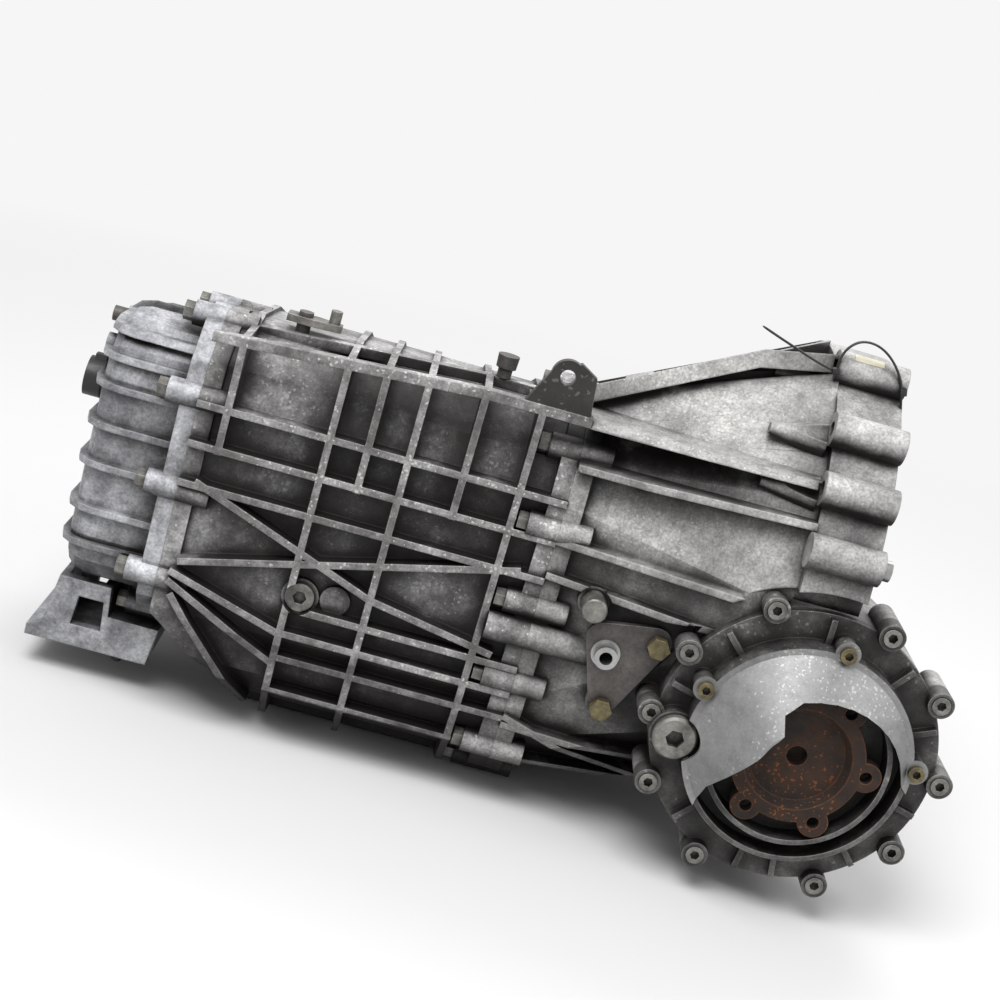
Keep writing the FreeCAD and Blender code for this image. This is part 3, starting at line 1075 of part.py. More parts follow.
def rear_mount():
    top = "-cover_bottom"
    body = new_body("rear_mount_bracket", "mount_x", "mount_y", "0")
    side = outline(body, "XZ_Plane", [
        ("-46", top), ("-52", "-166"), ("-62", "-170"), ("-62", "-178"), ("26", "-178"), ("30", "-150"),
        ("-7", "-150"), ("-9", top)], "-mount_width / 2")
    pad(body, side, "mount_width")
    hollow = outline(body, "XZ_Plane", [("-40", "-120"), ("-44", "-168"), ("20", "-168"), ("21", "-156"), ("-13", "-156"), ("-15", "-120")],
                     "-mount_width / 2 + 8")
    pocket(body, hollow, "mount_width - 16", True)
    window = outline(body, "XZ_Plane", [("-30", "-140"), ("-32", "-162"), ("-10", "-162"), ("-12", "-140")],
                     "-mount_width")
    pocket(body, window, "2 * mount_width", True)
    hole = circles(body, "XY_Plane", [("0", "0", "mount_core_radius + running_play")], "-160")
    pocket(body, hole, "30")
    pad_body = new_body("mount_rubber", "mount_x", "mount_y", "-178")
    core = "mount_core_radius + running_play"
    revolve(pad_body, "XZ_Plane", [
        (core, "0"), ("mount_pad_radius", "0"), ("mount_pad_radius", "-3"), ("9", "-mount_pad_height"),
        (core, "-mount_pad_height")], "V_Axis")
    stud = new_body("mount_stud", "mount_x", "mount_y", "mount_tip_z")
    shoulder = "-178 - mount_pad_height - mount_tip_z"
    revolve(stud, "XZ_Plane", [
        ("0", "0"), ("mount_stud_radius - 1", "0"), ("mount_stud_radius", "1"), ("mount_stud_radius", shoulder),
        ("mount_core_radius", shoulder), ("mount_core_radius", "30"), ("9", "30"), ("9", "35"), ("0", "35")], "V_Axis")


def build():
    bell_housing()
    gear_case()
    rear_cover()
    differential_cover()
    heat_shield()
    seam_bolts()
    side_cover_bolts()
    shield_screws()
    dowel_sleeves()
    filler_plug()
    level_plug()
    drain_plug()
    port_plate()
    port_socket()
    port_bolts()
    stub_plug()
    flange_shaft("flange_shaft_right", None)
    flange_shaft("flange_shaft_left", (Vector(0, 0, 1), 180))
    seals_and_bearings()
    transfer_gears()
    planet_set()
    final_drive()
    differential()
    input_shaft()
    clutches_and_pump()
    control_block()
    electrical_connector()
    vent_tube()
    lifting_eye()
    breather_post()
    selector()
    rear_mount()


build()
document.recompute()
kept = [item for item in document.Objects
        if item.TypeId == "PartDesign::Body" or item.TypeId == "Part::Feature"]
for item in document.Objects:
    if "Invalid" in item.State or "Error" in item.State:
        raise RuntimeError(f"{item.Label} failed: {item.State}")
for item in kept:
    if item.Shape.isNull() or not item.Shape.isValid() or not item.Shape.Solids:
        raise RuntimeError(f"{item.Label} has no sound solid")
os.makedirs("parts", exist_ok=True)
for item in kept:
    item.Shape.exportStep(os.path.join("parts", f"{item.Label}.step"))
    print(item.Label, len(item.Shape.Solids), round(item.Shape.Volume / 1000, 1))
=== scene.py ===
"""A used front-drive transaxle dressed for a studio photograph."""

import logging
import math
from collections.abc import Callable, Sequence
from dataclasses import dataclass, field
from enum import Enum
from typing import NamedTuple

import bmesh
import bpy
from mathutils import Matrix, Vector


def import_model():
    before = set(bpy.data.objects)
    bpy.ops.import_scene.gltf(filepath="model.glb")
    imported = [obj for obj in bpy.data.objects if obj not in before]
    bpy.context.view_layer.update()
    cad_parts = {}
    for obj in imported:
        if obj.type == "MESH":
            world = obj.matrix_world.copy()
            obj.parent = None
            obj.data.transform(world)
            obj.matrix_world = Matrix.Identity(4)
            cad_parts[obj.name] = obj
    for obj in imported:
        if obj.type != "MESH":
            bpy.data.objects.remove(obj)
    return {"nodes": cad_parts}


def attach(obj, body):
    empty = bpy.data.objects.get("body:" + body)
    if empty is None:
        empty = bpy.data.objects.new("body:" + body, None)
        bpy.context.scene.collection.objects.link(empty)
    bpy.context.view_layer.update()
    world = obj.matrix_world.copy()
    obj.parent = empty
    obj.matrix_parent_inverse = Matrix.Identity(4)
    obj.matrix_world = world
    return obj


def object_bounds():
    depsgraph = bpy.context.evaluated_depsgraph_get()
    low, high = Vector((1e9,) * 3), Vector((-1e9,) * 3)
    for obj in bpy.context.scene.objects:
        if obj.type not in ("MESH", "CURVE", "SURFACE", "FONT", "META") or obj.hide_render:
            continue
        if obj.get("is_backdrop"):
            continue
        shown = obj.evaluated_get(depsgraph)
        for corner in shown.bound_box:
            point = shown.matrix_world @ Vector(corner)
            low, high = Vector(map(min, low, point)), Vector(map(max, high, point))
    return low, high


log = logging.getLogger("transaxle")

Pair = tuple[float, float]
Point = tuple[float, float, float]
Node = bpy.types.ShaderNode
Socket = bpy.types.NodeSocket
Tree = bpy.types.NodeTree
Piece = bpy.types.Object

MM = 0.001
MERGE_DISTANCE = 0.00001

EDGE_SAMPLES = 6
SHADE_GRIME_SAMPLES = 8
BUMP_HEIGHT_MM = 0.4

# Where a noise, the openness of a place or the turn of a normal starts to act and acts in full.
FULL: Pair = (0.0, 1.0)
NOISE_RANGE: Pair = (0.3, 0.7)
NOISE_MIDDLE: Pair = (0.36, 0.64)
EDGE_BEND: Pair = (0.995, 0.86)
WEAR_NOISE: Pair = (0.38, 0.58)
WEAR_LEFT: Pair = (0.25, 1.0)
CORNER_OPENNESS: Pair = (0.93, 0.35)
FACING_DOWN: Pair = (0.15, -0.75)
SHADE_GRIME_NOISE: Pair = (0.3, 0.65)
SHADE_GRIME_SWING: Pair = (0.6, 1.3)

# The pale spots: cells of a pattern that wanders, each drawn or left out by chance.
SPOT_WANDER_MM = 3.0
SPOT_SHIFT_MM = 4.0
SPOT_NOISE: Pair = (0.62, 0.38)
SPOT_SIZE: Pair = (0.12, 0.36)
SPOT_NEARNESS: Pair = (0.0, 0.6)
SPOT_CHANCE: Pair = (0.12, 1.0)
SPOT_OPENNESS: Pair = (0.35, 0.8)


def srgb(code: str) -> tuple[float, float, float, float]:
    """Turns an sRGB hex colour to linear.

    Args:
        code: Six hex digits after a hash.

    Returns:
        Red, green, blue and alpha, linear.
    """
    parts = [int(code[i : i + 2], 16) / 255 for i in (1, 3, 5)]
    linear = [c / 12.92 if c <= 0.04045 else ((c + 0.055) / 1.055) ** 2.4 for c in parts]
    return linear[0], linear[1], linear[2], 1.0


def per_metre(size_mm: float) -> float:
    """The texture scale whose features have this size in millimetres."""
    return 1000.0 / size_mm


def add(tree: Tree, kind: str, settings: dict | None = None, links: dict | None = None) -> Node:
    """Adds one node with its settings and links.

    Args:
        tree: The material's node tree.
        kind: The node's type.
        settings: Attributes by name and socket values by socket name or index.
        links: Output sockets by the name or index of the input that they feed.

    Returns:
        The new node.
    """
    node = tree.nodes.new(kind)
    for key, value in (settings or {}).items():
        if isinstance(key, str) and hasattr(node, key):
            setattr(node, key, value)
        else:
            node.inputs[key].default_value = value
    for key, source in (links or {}).items():
        tree.links.new(source, node.inputs[key])
    return node


def combine(
    tree: Tree, operation: str, first: Socket, second: Socket, clamp: bool = False
) -> Socket:
    """One sum, product or comparison of two values.

    Args:
        tree: The material's node tree.
        operation: ADD, MULTIPLY or LESS_THAN.
        first: The first value.
        second: The second value.
        clamp: Whether the result stays between zero and one.

    Returns:
        The result.
    """
    settings = {"operation": operation, "use_clamp": clamp}
    return add(tree, "ShaderNodeMath", settings, {0: first, 1: second}).outputs[0]


def times(tree: Tree, first: Socket, second: Socket) -> Socket:
    """The clamped product of two values."""
    return combine(tree, "MULTIPLY", first, second, clamp=True)


def span(tree: Tree, value: Socket, source: Pair, goal: Pair) -> Socket:
    """Moves a value from one range to another and clamps it.

    Args:
        tree: The material's node tree.
        value: What is moved.
        source: The range's two ends before.
        goal: Its two ends after.

    Returns:
        The moved value.
    """
    ends = {
        "From Min": source[0],
        "From Max": source[1],
        "To Min": goal[0],
        "To Max": goal[1],
    }
    return add(tree, "ShaderNodeMapRange", ends, {"Value": value}).outputs["Result"]


def noise(tree: Tree, place: Socket, size_mm: float, detail: float, roughness: float) -> Socket:
    """One noise pattern with features of a real size.

    Args:
        tree: The material's node tree.
        place: Coordinates in metres.
        size_mm: Size of a feature.
        detail: Octaves.
        roughness: Weight of the finer octaves.

    Returns:
        The pattern, about 0.3 to 0.7.
    """
    settings = {"Scale": per_metre(size_mm), "Detail": detail, "Roughness": roughness}
    return add(tree, "ShaderNodeTexNoise", settings, {"Vector": place}).outputs["Fac"]


def ball(tree: Tree, place: Socket, scale: Point, shift: Point) -> Socket:
    """A value that falls from one at a middle point to zero at a distance.

    Args:
        tree: The node tree.
        place: Coordinates in metres.
        scale: One over the distance in metres, for each axis.
        shift: Minus the middle point times the scale.

    Returns:
        The value.
    """
    around = add(
        tree,
        "ShaderNodeVectorMath",
        {"operation": "MULTIPLY_ADD", 1: scale, 2: shift},
        {0: place},
    ).outputs[0]
    settings = {"gradient_type": "SPHERICAL"}
    return add(tree, "ShaderNodeTexGradient", settings, {"Vector": around}).outputs["Fac"]


class Look(Enum):
    """The finishes found on the gearbox."""

    CASE_CAST = "die-cast aluminium, oily"
    BELL_CAST = "die-cast aluminium, weathered"
    REAR_CAST = "die-cast aluminium, mottled"
    SIDE_CAST = "die-cast aluminium, dark with road dirt"
    SHEET = "aluminised steel sheet"
    ZINC = "zinc-plated steel"
    YELLOW_ZINC = "yellow passivated zinc"
    RUST = "rusted forged steel"
    TURNED = "turned steel"
    DULL_STEEL = "dull steel"
    GROUND = "ground gear steel"
    IRON = "nodular iron"
    NYLON = "glass-filled nylon"
    NITRILE = "nitrile rubber"
    PAPER = "coated paper label"
    BLACK_STEEL = "black-painted steel"


@dataclass(frozen=True)
class Finish:
    """What a surface is made of and how it has aged.

    The two base tones drift over patches, and mottle and grain vary them at smaller sizes. Pale
    oxide spots gather round fleck_middle, edges wear bright, and painted shade, with some grime,
    darkens what other surfaces close off and what faces down.
    """

    name: str
    light: str
    dark: str
    metallic: float = 0.0
    roughness: float = 0.6
    roughness_swing: float = 0.12
    patch_mm: float = 45.0
    mottle_mm: float = 8.0
    mottle_amount: float = 0.25
    grain_mm: float = 1.8
    grain_amount: float = 0.12
    fleck: str = "#dcdcd8"
    fleck_mm: float = 4.5
    fleck_amount: float = 0.0
    fleck_middle: Point = (-300.0, -120.0, 30.0)
    fleck_span_mm: float = 170.0
    # This dark colour is painted into closed-off places: painted shade, partly dirt.
    grime_and_shade: str = "#171412"
    grime_and_shade_amount: float = 0.6
    reach_mm: float = 16.0
    # How much darker faces that point down are painted: painted shade, partly dirt.
    underside_dirt_and_shade: float = 0.0
    wear: str = "#c4c4c0"
    wear_amount: float = 0.0
    bump_mm: float = 1.4
    bump_strength: float = 0.25
    edge_mm: float = 0.0

    def make(self) -> bpy.types.Material:
        """Builds the material's node tree.

        Returns:
            The finished material.
        """
        material = bpy.data.materials.new(self.name)
        material.use_nodes = True
        tree = material.node_tree
        tree.nodes.clear()
        place = add(tree, "ShaderNodeTexCoord").outputs["Object"]
        patches = noise(tree, place, self.patch_mm, detail=5.0, roughness=0.62)
        mottle = noise(tree, place, self.mottle_mm, detail=7.0, roughness=0.72)
        colour = self.base(tree, place, patches, mottle)
        bump_links = {"Height": noise(tree, place, self.bump_mm, detail=4.0, roughness=0.65)}
        if self.edge_mm > 0:
            rounding = {"samples": EDGE_SAMPLES, "Radius": self.edge_mm * MM}
            rounded = add(tree, "ShaderNodeBevel", rounding).outputs["Normal"]
            bump_links["Normal"] = rounded
            if self.wear_amount > 0:
                colour = self.worn(tree, rounded, mottle, colour)
        if self.grime_and_shade_amount > 0:
            reach = {"samples": SHADE_GRIME_SAMPLES, "Distance": self.reach_mm * MM}
            open_sky = add(tree, "ShaderNodeAmbientOcclusion", reach).outputs["AO"]
            if self.fleck_amount > 0:
                colour = self.flecks(tree, place, patches, open_sky, colour)
            colour = self.darken_with_grime_and_shade(tree, patches, open_sky, colour)
        swing = (self.roughness - self.roughness_swing, self.roughness + self.roughness_swing)
        rough = span(tree, mottle, NOISE_RANGE, swing)
        relief = {"Strength": self.bump_strength, "Distance": BUMP_HEIGHT_MM * MM}
        bump = add(tree, "ShaderNodeBump", relief, bump_links)
        shader = add(
            tree,
            "ShaderNodeBsdfPrincipled",
            {"Metallic": self.metallic},
            {"Base Color": colour, "Roughness": rough, "Normal": bump.outputs["Normal"]},
        )
        add(tree, "ShaderNodeOutputMaterial", None, {"Surface": shader.outputs["BSDF"]})
        return material

    def blend(self, tree: Tree, weight: Socket, under: Socket, over: str) -> Socket:
        """Lays one flat tone over a colour by a weight."""
        settings = {"data_type": "RGBA", 7: srgb(over)}
        return add(tree, "ShaderNodeMix", settings, {0: weight, 6: under}).outputs[2]

    def base(self, tree: Tree, place: Socket, patches: Socket, mottle: Socket) -> Socket:
        """The two base tones with their mottle and grain.

        Args:
            tree: The material's node tree.
            place: Coordinates in metres.
            patches: The slow noise.
            mottle: The middle noise.

        Returns:
            The bare surface's colour.
        """
        tone = add(
            tree,
            "ShaderNodeMix",
            {"data_type": "RGBA", 6: srgb(self.light), 7: srgb(self.dark)},
            {0: span(tree, patches, NOISE_MIDDLE, FULL)},
        ).outputs[2]
        grain = noise(tree, place, self.grain_mm, detail=3.0, roughness=0.6)
        for source, amount in ((mottle, self.mottle_amount), (grain, self.grain_amount)):
            shade = span(tree, source, NOISE_MIDDLE, (1.0 - amount, 1.0 + amount))
            tone = add(
                tree,
                "ShaderNodeVectorMath",
                {"operation": "SCALE"},
                {0: tone, "Scale": shade},
            ).outputs[0]
        return tone

    def worn(self, tree: Tree, rounded: Socket, mottle: Socket, colour: Socket) -> Socket:
        """Brightens edges where handling and weather have rubbed them.

        Args:
            tree: The material's node tree.
            rounded: The normal of the rounded edge.
            mottle: The middle noise, which breaks the wear up.
            colour: The surface before wear.

        Returns:
            The colour with its worn edges.
        """
        flat = add(tree, "ShaderNodeNewGeometry").outputs["Normal"]
        along = add(
            tree,
            "ShaderNodeVectorMath",
            {"operation": "DOT_PRODUCT"},
            {0: rounded, 1: flat},
        ).outputs["Value"]
        edge = span(tree, along, EDGE_BEND, (0.0, self.wear_amount))
        broken = span(tree, mottle, WEAR_NOISE, WEAR_LEFT)
        return self.blend(tree, times(tree, edge, broken), colour, self.wear)

    def flecks(
        self, tree: Tree, place: Socket, patches: Socket, open_sky: Socket, colour: Socket
    ) -> Socket:
        """Scatters pale oxide spots, thickest round their middle and on open faces.

        Args:
            tree: The material's node tree.
            place: Coordinates in metres.
            patches: The slow noise, which also makes the spots larger or smaller.
            open_sky: How open the surface is.
            colour: What the spots lie on.

        Returns:
            The colour with its spots.
        """
        wander = add(
            tree,
            "ShaderNodeTexNoise",
            {"Scale": per_metre(SPOT_WANDER_MM), "Detail": 2.0},
            {"Vector": place},
        ).outputs["Color"]
        shifted = add(
            tree,
            "ShaderNodeVectorMath",
            {"operation": "MULTIPLY_ADD", 1: (SPOT_SHIFT_MM * MM,) * 3},
            {0: wander, 2: place},
        ).outputs[0]
        cells = {"Scale": per_metre(self.fleck_mm)}
        spot = add(tree, "ShaderNodeTexVoronoi", cells, {"Vector": shifted})
        size = span(tree, patches, SPOT_NOISE, SPOT_SIZE)
        inside = combine(tree, "LESS_THAN", spot.outputs["Distance"], size)
        scale = (1.0 / (self.fleck_span_mm * MM),) * 3
        shift = tuple(-p / self.fleck_span_mm for p in self.fleck_middle)
        near = span(tree, ball(tree, place, scale, shift), SPOT_NEARNESS, SPOT_CHANCE)
        exposed = span(tree, open_sky, SPOT_OPENNESS, FULL)
        draw = add(tree, "ShaderNodeSeparateColor", None, {0: spot.outputs["Color"]}).outputs[0]
        chance = combine(tree, "LESS_THAN", draw, times(tree, near, exposed))
        weight = add(
            tree,
            "ShaderNodeMath",
            {"operation": "MULTIPLY", 1: self.fleck_amount},
            {0: times(tree, inside, chance)},
        ).outputs[0]
        return self.blend(tree, weight, colour, self.fleck)

    def darken_with_grime_and_shade(self, tree: Tree, patches: Socket, open_sky: Socket, colour: Socket) -> Socket:
        """Darkens corners, deep places and undersides with painted shade, partly old oil and
        dust.

        Args:
            tree: The material's node tree.
            patches: The slow noise, which makes the painted shade and grime uneven.
            open_sky: How open the surface is.
            colour: The clean surface.

        Returns:
            The colour with its grime.
        """
        # Painted shade, partly grime: the more closed off a place, the darker it is painted.
        closed = span(tree, open_sky, CORNER_OPENNESS, (0.0, self.grime_and_shade_amount))
        # Painted shade on undersides, partly oily dirt: faces that point down are painted darker.
        if self.underside_dirt_and_shade > 0:
            normal = add(tree, "ShaderNodeNewGeometry").outputs["Normal"]
            up = add(tree, "ShaderNodeSeparateXYZ", None, {0: normal}).outputs["Z"]
            down = span(tree, up, FACING_DOWN, (0.0, self.underside_dirt_and_shade))
            closed = combine(tree, "ADD", closed, down)
        uneven = span(tree, patches, SHADE_GRIME_NOISE, SHADE_GRIME_SWING)
        return self.blend(tree, times(tree, closed, uneven), colour, self.grime_and_shade)


# In every finish, the grime-and-shade amount paints shade into closed-off places as well as
# grime.
FINISHES: dict[Look, Finish] = {
    # Oil and road dirt have soaked into the die-cast skin, and salt has left white spots on it.
    # Its deep recesses and undersides are darkened strongly with painted shade.
    Look.CASE_CAST: Finish(
        "die_cast_aluminium_oily", "#b0afaf", "#706e6d", metallic=0.2, roughness=0.6,
        mottle_amount=0.42, grain_amount=0.22, fleck_amount=0.9, fleck_mm=3.6, grime_and_shade_amount=1.5,
        reach_mm=48.0, underside_dirt_and_shade=0.8, wear="#b9b8b4", wear_amount=0.75, edge_mm=1.6,
        bump_strength=0.5,
    ),
    # The drier bell keeps a pale, dusty, finely mottled skin.
    Look.BELL_CAST: Finish(
        "die_cast_aluminium_weathered", "#b9b8b6", "#8e8d8c", metallic=0.2, roughness=0.62,
        mottle_amount=0.26, grain_amount=0.22, fleck_amount=0.55, fleck_mm=3.2,
        fleck_middle=(-185.0, -100.0, 70.0), fleck_span_mm=130.0, grime_and_shade_amount=1.15,
        reach_mm=38.0, underside_dirt_and_shade=0.75, wear="#c6c5c1", wear_amount=0.5, edge_mm=2.0,
        bump_strength=0.45,
    ),
    Look.REAR_CAST: Finish(
        "die_cast_aluminium_mottled", "#c2c3c7", "#8a8b8f", metallic=0.25, roughness=0.58,
        mottle_amount=0.4, mottle_mm=11.0, grain_amount=0.18, grime_and_shade_amount=0.9, reach_mm=26.0,
        underside_dirt_and_shade=0.7, wear="#b6b7b8", wear_amount=0.5, edge_mm=1.6, bump_strength=0.45,
    ),
    # Road dirt has darkened the differential's side, and only its edges stay bright.
    Look.SIDE_CAST: Finish(
        "die_cast_aluminium_dark", "#7a7977", "#3b3a39", metallic=0.25, roughness=0.55,
        mottle_amount=0.4, grain_amount=0.2, fleck_amount=0.35,
        fleck_middle=(-14.0, -180.0, 0.0), fleck_span_mm=90.0, grime_and_shade_amount=1.1, reach_mm=30.0,
        underside_dirt_and_shade=0.7, wear="#b3b2ae", wear_amount=0.8, edge_mm=1.3, bump_strength=0.45,
    ),
    # Aluminised sheet has gone a dull, even grey with a few pale spots round its opening.
    Look.SHEET: Finish(
        "aluminised_steel_sheet", "#979797", "#7f7f7f", metallic=0.4, roughness=0.5,
        fleck_amount=0.4, fleck_middle=(-14.0, -200.0, -20.0), fleck_span_mm=70.0, fleck_mm=3.0,
        grime_and_shade="#4a4744", grime_and_shade_amount=0.5, bump_strength=0.12, mottle_amount=0.12,
        grain_amount=0.08, patch_mm=60.0,
    ),
    # Zinc plating goes matt and grey with age.
    Look.ZINC: Finish(
        "zinc_plated_steel", "#8d8b86", "#5c5a56", metallic=0.5, roughness=0.48,
        grime_and_shade_amount=0.9, reach_mm=8.0, bump_strength=0.15, mottle_amount=0.2, patch_mm=14.0,
        edge_mm=0.6, wear_amount=0.5,
    ),
    # A yellow passivation layer still colours the zinc on some of the screws.
    Look.YELLOW_ZINC: Finish(
        "yellow_passivated_zinc", "#7d7353", "#4d4532", metallic=0.5, roughness=0.46,
        grime_and_shade_amount=0.9, reach_mm=7.0, bump_strength=0.15, mottle_amount=0.25, patch_mm=12.0,
        edge_mm=0.6, wear="#b3a684", wear_amount=0.5,
    ),
    # Bare forged steel near the road rusts brown, with orange spots on its low side.
    Look.RUST: Finish(
        "rusted_forged_steel", "#3d281b", "#1a1310", metallic=0.1, roughness=0.78,
        fleck="#a5602f", fleck_amount=0.5, fleck_middle=(-14.0, -190.0, -120.0),
        fleck_span_mm=60.0, fleck_mm=3.0, grime_and_shade_amount=0.9, reach_mm=24.0, bump_strength=0.5,
        mottle_amount=0.35, mottle_mm=6.0, patch_mm=20.0, wear="#8a5330", wear_amount=0.9,
        edge_mm=1.6,
    ),
    Look.TURNED: Finish(
        "turned_steel", "#a9a9a8", "#8b8b8a", metallic=0.9, roughness=0.34, grime_and_shade_amount=0.25,
        reach_mm=6.0, bump_strength=0.08, mottle_amount=0.08, grain_amount=0.05,
    ),
    Look.DULL_STEEL: Finish(
        "dull_steel", "#625e5c", "#413e3c", metallic=0.4, roughness=0.55, grime_and_shade_amount=0.8,
        reach_mm=10.0, bump_strength=0.2, mottle_amount=0.25, edge_mm=0.6, wear_amount=0.4,
    ),
    Look.GROUND: Finish(
        "ground_gear_steel", "#9a9b9d", "#7d7e80", metallic=0.9, roughness=0.3,
        grime_and_shade_amount=0.3, reach_mm=5.0, bump_strength=0.06, mottle_amount=0.08,
        grain_amount=0.05,
    ),
    Look.IRON: Finish(
        "nodular_iron", "#5d5b58", "#413f3d", metallic=0.5, roughness=0.6, grime_and_shade_amount=0.5,
        bump_strength=0.4,
    ),
    # Glass-filled nylon is matt black with a faint grey bloom.
    Look.NYLON: Finish(
        "glass_filled_nylon", "#232324", "#171718", roughness=0.46, grime_and_shade_amount=0.0,
        bump_strength=0.12, mottle_amount=0.12, bump_mm=0.8,
    ),
    Look.NITRILE: Finish(
        "nitrile_rubber", "#242322", "#161514", roughness=0.7, grime_and_shade_amount=0.0,
        bump_strength=0.2, mottle_amount=0.25,
    ),
    Look.PAPER: Finish(
        "coated_paper_label", "#d9d4bd", "#c4bd9f", roughness=0.55, grime_and_shade_amount=0.15,
        bump_strength=0.05, mottle_amount=0.06, grain_amount=0.03,
    ),
    # The paint of the lifting eye is chipped along its edges.
    Look.BLACK_STEEL: Finish(
        "black_painted_steel", "#32312f", "#1d1c1b", metallic=0.15, roughness=0.5,
        grime_and_shade_amount=0.5, fleck_amount=0.35, fleck="#8a8781",
        fleck_middle=(-230.0, -120.0, 110.0), fleck_span_mm=60.0, bump_strength=0.2,
        wear="#8f8d89", wear_amount=0.8, edge_mm=0.8,
    ),
}

NODE_LOOKS: dict[Look, tuple[str, ...]] = {
    Look.CASE_CAST: ("gear_case",),
    Look.BELL_CAST: ("bell_housing",),
    Look.REAR_CAST: ("rear_cover", "rear_mount_bracket", "oil_pump_body", "valve_body"),
    Look.SIDE_CAST: ("differential_cover",),
    Look.SHEET: ("heat_shield",),
    Look.ZINC: (
        "seam_bolts", "side_cover_bolts", "filler_plug", "level_plug", "drain_plug",
        "mount_stud", "selector_lever", "stub_plug",
    ),
    Look.YELLOW_ZINC: ("shield_screws", "port_plate_bolts"),
    Look.RUST: ("flange_shaft_right", "flange_shaft_left"),
    Look.TURNED: (
        "dowel_sleeves", "input_shaft", "oil_pump_rotor", "pinion_shaft", "cross_pin",
        "planet_pins", "port_socket", "front_clutch_drum", "rear_clutch_drum", "clutch_plates",
        "planet_carrier", "cage_bearings", "pinion_bearing_front", "pinion_bearing_rear",
        "carrier_bearing", "input_bearing_rear",
    ),
    Look.DULL_STEEL: ("selector_shaft", "vent_tube", "port_plate", "breather_post"),
    Look.GROUND: (
        "transfer_drive_gear", "transfer_driven_gear", "sun_gear", "planet_gear_1",
        "planet_gear_2", "planet_gear_3", "ring_gear", "crown_wheel", "side_gear_right",
        "side_gear_left", "spider_gear_upper", "spider_gear_lower",
    ),
    Look.IRON: ("differential_cage",),
    Look.NYLON: ("electrical_connector",),
    Look.NITRILE: ("shaft_seals", "input_seal", "mount_rubber"),
    Look.BLACK_STEEL: ("lifting_eye",),
}


@dataclass
class Paintshop:
    """Holds each material once and puts it on nodes and pieces."""

    made: dict[Look, bpy.types.Material] = field(default_factory=dict)

    def material(self, look: Look) -> bpy.types.Material:
        """Gives the material of a look, making it at first use."""
        if look not in self.made:
            self.made[look] = FINISHES[look].make()
        return self.made[look]

    def dress(self, piece: Piece, look: Look) -> None:
        """Gives a piece one material all over."""
        piece.data.materials.clear()
        piece.data.materials.append(self.material(look))

    def dress_nodes(self, nodes: dict[str, Piece]) -> None:
        """Gives every frame node its finish.

        Args:
            nodes: The frame's objects by name.
        """
        for look, names in NODE_LOOKS.items():
            for name in names:
                self.dress(nodes[name], look)
        bare = set(nodes) - {name for names in NODE_LOOKS.values() for name in names}
        if bare:
            raise ValueError(f"no finish for {sorted(bare)}")


def metres(*point: float) -> Vector:
    """A point given in millimetres, in metres."""
    return Vector(point) * MM


def deselect() -> None:
    """Leaves nothing selected."""
    bpy.ops.object.select_all(action="DESELECT")


def take(piece: Piece) -> None:
    """Selects one object alone and makes it the active one."""
    deselect()
    piece.select_set(True)
    bpy.context.view_layer.objects.active = piece


def open_edit(piece: Piece, element: str = "FACE") -> None:
    """Opens a piece in edit mode with nothing selected.

    Args:
        piece: The mesh to edit.
        element: VERT, EDGE or FACE.
    """
    take(piece)
    bpy.ops.object.mode_set(mode="EDIT")
    bpy.ops.mesh.select_mode(type=element)
    bpy.ops.mesh.select_all(action="DESELECT")


def pick(piece: Piece, test: Callable[[Vector, Vector], bool]) -> None:
    """Selects the faces whose middle and normal pass a test.

    Args:
        piece: The mesh in edit mode.
        test: Takes a face's middle and normal, in metres.
    """
    shape = bmesh.from_edit_mesh(piece.data)
    for face in shape.faces:
        face.select_set(test(face.calc_center_median(), face.normal))
    bmesh.update_edit_mesh(piece.data)


def close_edit() -> None:
    """Leaves edit mode with doubles merged and normals outwards."""
    bpy.ops.mesh.select_all(action="SELECT")
    bpy.ops.mesh.remove_doubles(threshold=MERGE_DISTANCE)
    bpy.ops.mesh.normals_make_consistent(inside=False)
    bpy.ops.object.mode_set(mode="OBJECT")


def apply_modifier(piece: Piece, kind: str, **settings: float | int | str) -> None:
    """Adds one modifier and applies it.

    Args:
        piece: The object that gets it.
        kind: The modifier's type.
        **settings: Its attributes.
    """
    take(piece)
    modifier = piece.modifiers.new("shape", kind)
    for key, value in settings.items():
        setattr(modifier, key, value)
    bpy.ops.object.modifier_apply(modifier=modifier.name)


def settle(piece: Piece, name: str, body: str, smooth_degrees: float = 35.0) -> None:
    """Names a finished piece, puts its place in its mesh and fixes it to a body.

    Args:
        piece: The finished object.
        name: Its name.
        body: The CAD body that it moves with.
        smooth_degrees: Edges sharper than this stay sharp.
    """
    take(piece)
    bpy.ops.object.transform_apply(location=True, rotation=True, scale=True)
    bpy.ops.object.shade_smooth_by_angle(angle=math.radians(smooth_degrees))
    piece.name = name
    piece.data.name = name
    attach(piece, body)
    log.info("piece %s rides on %s", name, body)


